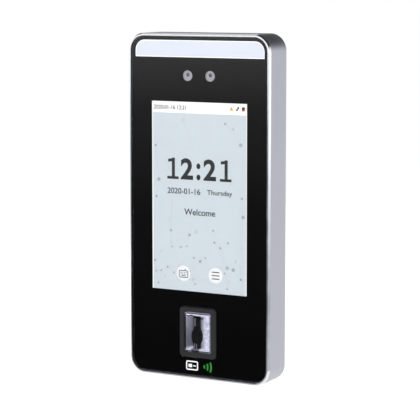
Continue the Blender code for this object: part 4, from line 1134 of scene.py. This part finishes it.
@dataclass
class FingerprintSensor:
    """The raised bezel, the platen, and the lit well with its dark core."""

    bezel_corner: float = 2.5 * MM
    window_corner: float = 1.2 * MM
    window: Span = (17.6 * MM, 23.4 * MM)
    # Width of the dark ring round the platen's edge, which is painted shade of the window's inner wall.
    shade_ring_width: float = 0.5 * MM
    outline: float = 0.2 * MM
    core_shift: float = -2.4 * MM
    swell: float = 1.4 * MM
    swell_drop: float = -3.2 * MM
    swell_reach: float = 3.6 * MM
    core_width: float = 3.7 * MM
    line_width: float = 0.65 * MM
    bends: Sequence[Span] = ((0.5, -1.0), (2.0, -1.6), (3.4, -0.8), (6.3, -1.5), (8.0, -2.3), (11.6, -2.4))

    def build(self) -> None:
        """Build and dress the sensor."""
        x, y, z = spans("fingerprint_bezel")
        face_x, face_z = grown(x, -BEZEL_FLANGE), grown(z, -BEZEL_FLANGE)
        middle = (centre_of(x), centre_of(z))
        bezel = slab("sensor_bezel", face_x, (y[0] + 0.6 * MM, y[1]), face_z, self.bezel_corner, 12)
        with editing(bezel):
            pick_faces(bezel, lambda centre, normal: normal.y < -0.9)
            bpy.ops.mesh.inset(thickness=0.6 * MM, depth=0.6 * MM)
        foot = slab("sensor_foot", x, (y[1] - 0.5 * MM, y[1]), z, self.bezel_corner, 8)
        combine(bezel, foot, "UNION")
        window_x, window_z = centred(middle[0], self.window[0]), centred(middle[1], self.window[1])
        way_x, way_z = grown(window_x, self.outline), grown(window_z, self.outline)
        cut(bezel, slab("window_way", way_x, grown(y, OVER), way_z, self.window_corner, 8))
        soften(bezel, 0.15 * MM, 3, 40)
        dress(bezel, TERMINAL, SATIN_DARK, stands_for=["fingerprint_bezel"])
        px, py, pz = spans("fingerprint_platen")
        platen = slab("sensor_platen", px, py, pz, 0.9 * MM, 8)
        soften(platen, 0.1 * MM, 2, 50)
        dress(platen, TERMINAL, PLATEN, stands_for=["fingerprint_platen"])
        self._build_well()
        for node, finish in (("fingerprint_body", BLACK), ("fingerprint_board", BOARD)):
            dress_node(node, finish)

    def _build_well(self) -> None:
        """The pale walls and floor, the swollen dark core and the thin streaks of light."""
        x, y, z = spans("fingerprint_light_guide")
        core_x, core_y, _ = spans("fingerprint_lens_block")
        middle = (centre_of(x) + self.core_shift, centre_of(z))
        half = (self.window[0] / 2, self.window[1] / 2)
        glow = WellLight("sensor_glow", (0.80, 0.82, 0.98), (0.035, 0.035, 0.050), middle, half)
        guide = refined("fingerprint_light_guide", "sensor_well", 0.1 * MM)
        dress(guide, TERMINAL, glow, stands_for=["fingerprint_light_guide"])
        floor_y = (y[1] - 0.4 * MM, y[1] - 0.1 * MM)
        floor = slab("sensor_well_floor", grown(x, -1.3 * MM), floor_y, grown(z, -1.3 * MM), 0.5 * MM, 4)
        with editing(floor):
            pick_faces(floor, lambda centre, normal: normal.y < -0.9)
            bpy.ops.mesh.inset(thickness=0.8 * MM, depth=-0.15 * MM)
        dress(floor, TERMINAL, glow)
        core_z = (z[0] + 1.4 * MM, z[1] - 2.6 * MM)
        column = block("sensor_core", centred(middle[0], self.core_width), core_y, core_z)
        with editing(column):
            pick_faces(column, lambda centre, normal: abs(normal.x) > 0.9)
            bpy.ops.mesh.subdivide(number_cuts=24)
        for vert in column.data.vertices:
            away = (vert.co.z - middle[1] - self.swell_drop) / self.swell_reach
            swell = self.swell * math.exp(-(away**4))
            vert.co.x += math.copysign(swell, vert.co.x - middle[0])
        soften(column, 0.2 * MM, 2, 50)
        dress(column, TERMINAL, CORE, stands_for=["fingerprint_lens_block"])
        front = (core_y[0] - 0.15 * MM, core_y[0] - 0.05 * MM)
        foot = z[0] + 1.6 * MM
        streaks = [
            block("streak", centred(middle[0] + shift * MM, wide * MM), front, reach)
            for shift, wide, reach in (
                (-0.75, 0.4, (middle[1] + 3.2 * MM, z[1] - 3.6 * MM)),
                (-0.95, 0.3, (foot, middle[1] - 7.0 * MM)),
                (0.35, 0.3, (foot, middle[1] - 7.2 * MM)),
            )
        ]
        light = merge("sensor_streaks", streaks)
        soften(light, 0.04 * MM, 2, 40)
        dress(light, TERMINAL, SENSOR_STREAK)
        self._build_shade_ring(spans("fingerprint_platen"))

    def _build_shade_ring(self, platen: tuple[Span, Span, Span]) -> None:
        """A dark ring laid on the platen, just inside the bezel's window: painted shade of the window's
        inner wall.
        """
        x, y, z = platen
        back = (y[0] - 2 * SKIN, y[0] - SKIN)
        # Painted shade: a dark ring standing for the shade just inside the window's wall.
        ring = slab("platen_shade_ring", grown(x, -0.1 * MM), back, grown(z, -0.1 * MM), self.window_corner, 8)
        hole_x, hole_z = grown(x, -0.1 * MM - self.shade_ring_width), grown(z, -0.1 * MM - self.shade_ring_width)
        cut(ring, slab("shade_ring_hole", hole_x, grown(back, OVER), hole_z, 0.6 * MM, 8))
        dress(ring, TERMINAL, PRINT_AND_SHADE)
        self._build_zigzag(back)

    def _build_zigzag(self, back: Span) -> None:
        """The thin dark crooked line across the upper left of the window."""
        across, _, up = spans("fingerprint_platen")
        left, top = across[0] + self.shade_ring_width, up[1] - self.shade_ring_width
        points = [(left + x * MM, top + z * MM) for x, z in self.bends]
        strokes = [
            stroke("bend", start, end, centre_of(back), SKIN, self.line_width)
            for start, end in zip(points, points[1:])
        ]
        dress(merge("platen_zigzag", strokes), TERMINAL, PRINT_AND_SHADE)


@dataclass
class Connectors:
    """Headers, pull-off plugs with their screws, the network socket and the small ports."""

    ways: dict[str, int] = field(default_factory=lambda: {"left": 6, "right": 4})
    pitch: float = 3.5 * MM
    contact_pitch: float = 1.02 * MM
    contacts: int = 8
    clamp_radius: float = 1.15 * MM

    def build(self) -> None:
        """Build and dress the connectors."""
        for side, count in self.ways.items():
            rebuild(f"terminal_header_{side}", f"header_{side}", GREEN, 0.12 * MM)
            rebuild(f"terminal_plug_{side}", f"plug_{side}_housing", GREEN, 0.12 * MM, body=f"plug_{side}")
            self._plug_screws(side, count)
        rebuild("ethernet_jack", "network_jack", TIN, 0.15 * MM)
        self._jack_contacts()
        rebuild("usb_port", "service_port", TIN, 0.08 * MM)
        dress_node("reset_switch", TIN)
        rebuild("reset_button", "reset_cap", BLACK, 0.2 * MM, 3, "reset_button")
        rebuild("tamper_plunger", "tamper_pin", WHITE, 0.12 * MM, 3, "tamper_plunger")

    def _plug_screws(self, side: str, count: int) -> None:
        """The slotted clamp screws of one plug, modelled once and copied."""
        x, y, z = spans(f"terminal_plug_{side}")
        first, low = x[0] + 0.8 * MM + self.pitch / 2, z[0] + 6.0 * MM
        head_y = (y[1] - 1.9 * MM, y[1] - 0.7 * MM)
        head = rod("clamp_screw", self.clamp_radius, head_y, (first, low), sides=28)
        cut(head, block("slot", centred(first, 0.35 * MM), (y[1] - 1.2 * MM, y[1]), centred(low, 4 * MM)))
        soften(head, 0.08 * MM, 2, 40)
        row = [head] + [
            shifted_copy(head, f"clamp_screw_{n}", (n * self.pitch, 0.0, 0.0)) for n in range(1, count)
        ]
        dress(merge(f"clamp_screws_{side}", row), f"plug_{side}", SCREW)

    def _jack_contacts(self) -> None:
        """Eight spring contacts in the network socket."""
        x, y, z = spans("ethernet_jack")
        first = centre_of(x) - (self.contacts - 1) / 2 * self.contact_pitch
        wire_y, wire_z = (y[0] + 3.3 * MM, y[0] + 3.7 * MM), (z[0] + 2.0 * MM, z[0] + 12.0 * MM)
        wire = block("contact", centred(first, 0.4 * MM), wire_y, wire_z)
        with editing(wire):
            pick_faces(wire, lambda centre, normal: normal.z > 0.9)
            bpy.ops.mesh.extrude_region_move(TRANSFORM_OT_translate={"value": (0.0, 1.2 * MM, 1.2 * MM)})
        soften(wire, 0.06 * MM, 2, 40)
        row = [wire] + [
            shifted_copy(wire, f"contact_{n}", (n * self.contact_pitch, 0.0, 0.0))
            for n in range(1, self.contacts)
        ]
        dress(merge("jack_contacts", row), TERMINAL, GOLD)


@dataclass
class BayBoard:
    """What is soldered on the main board where the terminal bay shows it."""

    seed: int = 3
    small_parts: int = 34
    part_columns: int = 9
    leg_pitch: float = 1.0 * MM
    chips: Sequence[tuple[float, ...]] = (
        (-20.0, -61.0, 7.0, 7.0, 1.0),
        (-6.0, -57.5, 5.0, 4.0, 1.2),
        (6.0, -67.0, 9.0, 6.0, 1.1),
        (18.0, -52.0, 4.0, 4.0, 0.9),
    )  # middle X and Z, width, height and thickness in mm, clear of the plugs' travel

    def build(self) -> None:
        """Build and dress the board's small parts in the bay."""
        dress_node("main_board", BOARD)
        rear = spans("main_board")[1][1]
        chips, legs, taken = [], [], []
        for x, z, wide, tall, high in ([value * MM for value in chip] for chip in self.chips):
            chip_y = (rear + 0.1 * MM, rear + high)
            chip = slab("chip", centred(x, wide), chip_y, centred(z, tall), 0.3 * MM, 3)
            soften(chip, 0.12 * MM, 2, 40)
            chips.append(chip)
            taken.append((x, z, wide, tall))
            legs += self._legs(x, z, wide, tall, rear)
        dress(merge("bay_chips", chips), TERMINAL, CHIP)
        dress(merge("bay_chip_legs", legs), TERMINAL, TIN)
        draw = random.Random(self.seed)
        seed_part = block("chip_part", (0.0, 1.6 * MM), (rear, rear + 0.6 * MM), (0.0, 0.8 * MM))
        soften(seed_part, 0.08 * MM, 2, 40)
        parts = []
        for number in range(self.small_parts):
            row, column = divmod(number, self.part_columns)
            x = (-28.0 + column * 5.6 + draw.uniform(-0.6, 0.6)) * MM
            z = (-76.0 + row * 7.2 + draw.uniform(-0.8, 0.8)) * MM
            if not any(abs(x + 0.8 * MM - cx) < wide / 2 + 1.8 * MM and abs(z - cz) < tall / 2 + 1.4 * MM
                       for cx, cz, wide, tall in taken):
                parts.append(shifted_copy(seed_part, f"part_{number}", (x, 0.0, z)))
        bpy.data.objects.remove(seed_part, do_unlink=True)
        dress(merge("bay_small_parts", parts), TERMINAL, TIN)

    def _legs(self, x: float, z: float, wide: float, tall: float, rear: float) -> list[bpy.types.Object]:
        """The bent legs down both sides of one chip, modelled once and copied."""
        pitch = self.leg_pitch
        count = max(2, int(tall / pitch) - 1)
        rows = []
        for side in (-1.0, 1.0):
            root = x + side * wide / 2
            low = z - (count - 1) * pitch / 2
            leg_y = (rear + 0.35 * MM, rear + 0.5 * MM)
            leg = block("leg", centred(root + side * 0.2 * MM, 0.5 * MM), leg_y, centred(low, 0.45 * MM))
            with editing(leg):
                pick_faces(leg, lambda centre, normal: normal.x * side > 0.9)
                bpy.ops.mesh.extrude_region_move(
                    TRANSFORM_OT_translate={"value": (side * 0.2 * MM, -0.34 * MM, 0.0)}
                )
                bpy.ops.mesh.extrude_region_move(
                    TRANSFORM_OT_translate={"value": (side * 0.5 * MM, 0.0, 0.0)}
                )
            soften(leg, 0.03 * MM, 1, 40)
            rows.append(leg)
            rows += [shifted_copy(leg, f"leg_{n}", (0.0, 0.0, n * pitch)) for n in range(1, count)]
        return rows


@dataclass
class Rear:
    """The moulded rear cover, its screws, the lock and the wall bracket."""

    def build(self) -> None:
        """Build and dress the rear."""
        rebuild("rear_cover", "cover_moulding", BLACK, 0.18 * MM)
        for number in range(1, 7):
            rebuild(f"cover_screw_{number}", f"case_screw_{number}", SCREW, 0.12 * MM)
        rebuild("wall_bracket", "bracket_plate", ZINC, 0.25 * MM, 3, "bracket")
        rebuild("security_screw", "lock_screw", SCREW, 0.15 * MM, body="bracket")
        dress_node("lock_insert", BRASS)


@dataclass
class Inner:
    """Pieces inside the case, which keep their shape and get their finishes."""

    finishes: dict[str, Surface] = field(
        default_factory=lambda: {
            "glass_tape": FOAM,
            "microphone_boot": RUBBER,
            "microphone": TIN,
            "carrier_plate": TIN,
            "antenna_board": BOARD,
            "processor_shield": TIN,
            "lock_relay": BLUE,
            "cell_holder": BLACK,
            "coin_cell": TIN,
            "tamper_switch": BLACK,
            "speaker": BLACK,
        }
    )

    def build(self) -> None:
        """Dress every inner node."""
        for node, finish in self.finishes.items():
            dress_node(node, finish)
        for number in range(1, 5):
            dress_node(f"carrier_screw_{number}", SCREW)
            dress_node(f"board_screw_{number}", SCREW)


# --- studio ------------------------------------------------------------------


@dataclass
class Studio:
    """Floor, lights, world and camera."""

    azimuth: float = 28.18
    elevation: float = 7.42
    distance: float = 0.9952
    lens: float = 148.25
    target: Place = (0.00788, -0.0215, -0.0002)
    floor_z: float = -0.45
    floor_front: float = 1.375
    floor_half_width: float = 1.5
    floor_dim: float = 0.50
    floor_bright: float = 0.85
    floor_depth: float = 8.0
    softboxes: Sequence[tuple[str, Place, float, float, float]] = (
        ("softbox_front", (-0.6, -2.2, 2.0), 1.8, 1.0, 1.6),
        ("softbox_right", (1.6, -1.6, 1.4), 1.0, 1.0, 1.2),
        ("softbox_above", (-1.1, 1.1, 1.7), 1.3, 1.0, 0.6),
    )
    front: Sequence[Span] = (
        (-12.0, 0.05), (-7.4, 0.12), (-4.0, 0.38), (-2.4, 0.85), (-1.4, 1.45), (3.0, 1.5), (60.0, 0.5),
    )
    side: Sequence[Span] = (
        (-22.0, 0.95), (-16.0, 0.42), (-10.2, 0.42), (-8.6, 0.60), (-7.1, 0.86), (-5.6, 1.25), (-3.4, 1.6),
        (-1.0, 1.15), (12.0, 1.1), (30.0, 0.05),
    )
    back: Sequence[Span] = ((-20.0, 0.9), (-7.0, 0.90), (4.0, 0.95), (12.0, 0.30), (22.0, 0.06))

    def build(self) -> None:
        """Make the studio."""
        scene = bpy.context.scene
        scene.view_settings.view_transform = "Standard"
        self._floor()
        self._world(scene)
        for softbox in self.softboxes:
            self._softbox(*softbox)
        self._camera(scene)

    def _floor(self) -> None:
        """A plain white floor well below the wall unit, dimmer towards its front edge."""
        deselect()
        depth, near = self.floor_depth, -self.floor_front
        bpy.ops.mesh.primitive_plane_add(size=1.0, location=(0.0, near + depth / 2, self.floor_z))
        floor = bpy.context.object
        floor.scale = (2 * self.floor_half_width, depth, 1.0)
        floor.name = "floor"
        settle(floor)
        nodes = Nodes("pale_floor")
        glow = nodes.along("Y", near, near + 1.2, (self.floor_dim, self.floor_bright))
        nodes.shader.inputs["Base Color"].default_value = (0.3, 0.3, 0.3, 1.0)
        nodes.shader.inputs["Roughness"].default_value = 0.9
        nodes.shader.inputs["Emission Color"].default_value = (1.0, 1.0, 1.0, 1.0)
        path = nodes.tree.nodes.new("ShaderNodeLightPath")
        strength = nodes.math("MAXIMUM", glow, path.outputs["Is Camera Ray"])
        nodes.link(strength, nodes.shader.inputs["Emission Strength"])
        floor.data.materials.append(nodes.material)

    def _world(self, scene: bpy.types.Scene) -> None:
        """White behind the object, which is lit by three skies: in front, beside and behind."""
        world = bpy.data.worlds.new("studio")
        scene.world = world
        world.use_nodes = True
        tree = world.node_tree
        tree.nodes.clear()
        axes = tree.nodes.new("ShaderNodeSeparateXYZ")
        tree.links.new(tree.nodes.new("ShaderNodeTexCoord").outputs["Generated"], axes.inputs[0])
        skies = [self._sky(tree, axes.outputs["Z"], stops) for stops in (self.front, self.side, self.back)]
        beside = self._fade(tree, axes.outputs["Y"], -0.55, -0.15)
        behind = self._fade(tree, axes.outputs["Y"], 0.40, 0.72)
        first = self._mixed(tree, beside, skies[0], skies[1])
        second = self._mixed(tree, behind, first, skies[2])
        light = tree.nodes.new("ShaderNodeBackground")
        tree.links.new(second, light.inputs["Color"])
        white = tree.nodes.new("ShaderNodeBackground")
        white.inputs["Color"].default_value = (1.0, 1.0, 1.0, 1.0)
        path = tree.nodes.new("ShaderNodeLightPath")
        mix = tree.nodes.new("ShaderNodeMixShader")
        tree.links.new(path.outputs["Is Camera Ray"], mix.inputs[0])
        tree.links.new(light.outputs[0], mix.inputs[1])
        tree.links.new(white.outputs[0], mix.inputs[2])
        output = tree.nodes.new("ShaderNodeOutputWorld")
        tree.links.new(mix.outputs[0], output.inputs["Surface"])

    def _sky(self, tree: Any, height: Any, stops: Sequence[Span]) -> Any:
        """A sky whose brightness follows stops of elevation in degrees and brightness."""
        ramp = tree.nodes.new("ShaderNodeValToRGB")
        spread = self._fade(tree, height, -1.0, 1.0, "LINEAR")
        tree.links.new(spread, ramp.inputs[0])
        elements = ramp.color_ramp.elements
        while len(elements) < len(stops):
            elements.new(0.5)
        for element, (elevation, bright) in zip(elements, stops):
            element.position = (math.sin(math.radians(elevation)) + 1.0) / 2.0
        for element, (elevation, bright) in zip(elements, stops):
            element.color = (bright * 0.98, bright * 0.98, bright, 1.0)
        return ramp.outputs["Color"]

    def _fade(self, tree: Any, source: Any, low: float, high: float, kind: str = "SMOOTHSTEP") -> Any:
        """A value that goes from 0 at low to 1 at high."""
        node = tree.nodes.new("ShaderNodeMapRange")
        node.interpolation_type = kind
        node.inputs["From Min"].default_value = low
        node.inputs["From Max"].default_value = high
        tree.links.new(source, node.inputs["Value"])
        return node.outputs["Result"]

    def _mixed(self, tree: Any, factor: Any, first: Any, second: Any) -> Any:
        """Two skies mixed by a factor."""
        node = tree.nodes.new("ShaderNodeMix")
        node.data_type = "RGBA"
        for source, name in ((factor, "Factor"), (first, 6), (second, 7)):
            tree.links.new(source, node.inputs[name])
        return node.outputs[2]

    def _softbox(self, name: str, place: Place, width: float, height: float, radiance: float) -> None:
        """A soft rectangular light that faces the object.

        Args:
            name: The light's name.
            place: Its middle.
            width: Its width.
            height: Its height.
            radiance: How bright its face is.
        """
        light = bpy.data.lights.new(name, "AREA")
        light.shape = "RECTANGLE"
        light.size, light.size_y = width, height
        light.energy = radiance * math.pi * width * height
        lamp = bpy.data.objects.new(name, light)
        lamp.location = place
        lamp.rotation_euler = (-Vector(place)).to_track_quat("-Z", "Y").to_euler()
        bpy.context.scene.collection.objects.link(lamp)

    def _camera(self, scene: bpy.types.Scene) -> None:
        """The camera, to the right of the glass and a little above it."""
        camera = bpy.data.cameras.new("camera")
        camera.lens = self.lens
        camera.sensor_width = 36.0
        turn, rise = math.radians(self.azimuth), math.radians(self.elevation)
        away = Vector((math.sin(turn) * math.cos(rise), -math.cos(turn) * math.cos(rise), math.sin(rise)))
        obj = bpy.data.objects.new("camera", camera)
        obj.location = Vector(self.target) + away * self.distance
        obj.rotation_euler = (-away).to_track_quat("-Z", "Y").to_euler()
        scene.collection.objects.link(obj)
        scene.camera = obj


def main() -> None:
    """Build every sub-assembly in order."""
    logging.basicConfig(level=logging.INFO, format="%(name)s: %(message)s")
    assemblies = (
        HousingFrame(),
        CoverGlass(),
        LightBar(),
        CameraPair(),
        Screen(),
        FingerprintSensor(),
        Connectors(),
        BayBoard(),
        Rear(),
        Inner(),
        Studio(),
    )
    for assembly in assemblies:
        LOG.info("building %s", type(assembly).__name__)
        assembly.build()
    deselect()


if __name__ == "__main__":
    main()
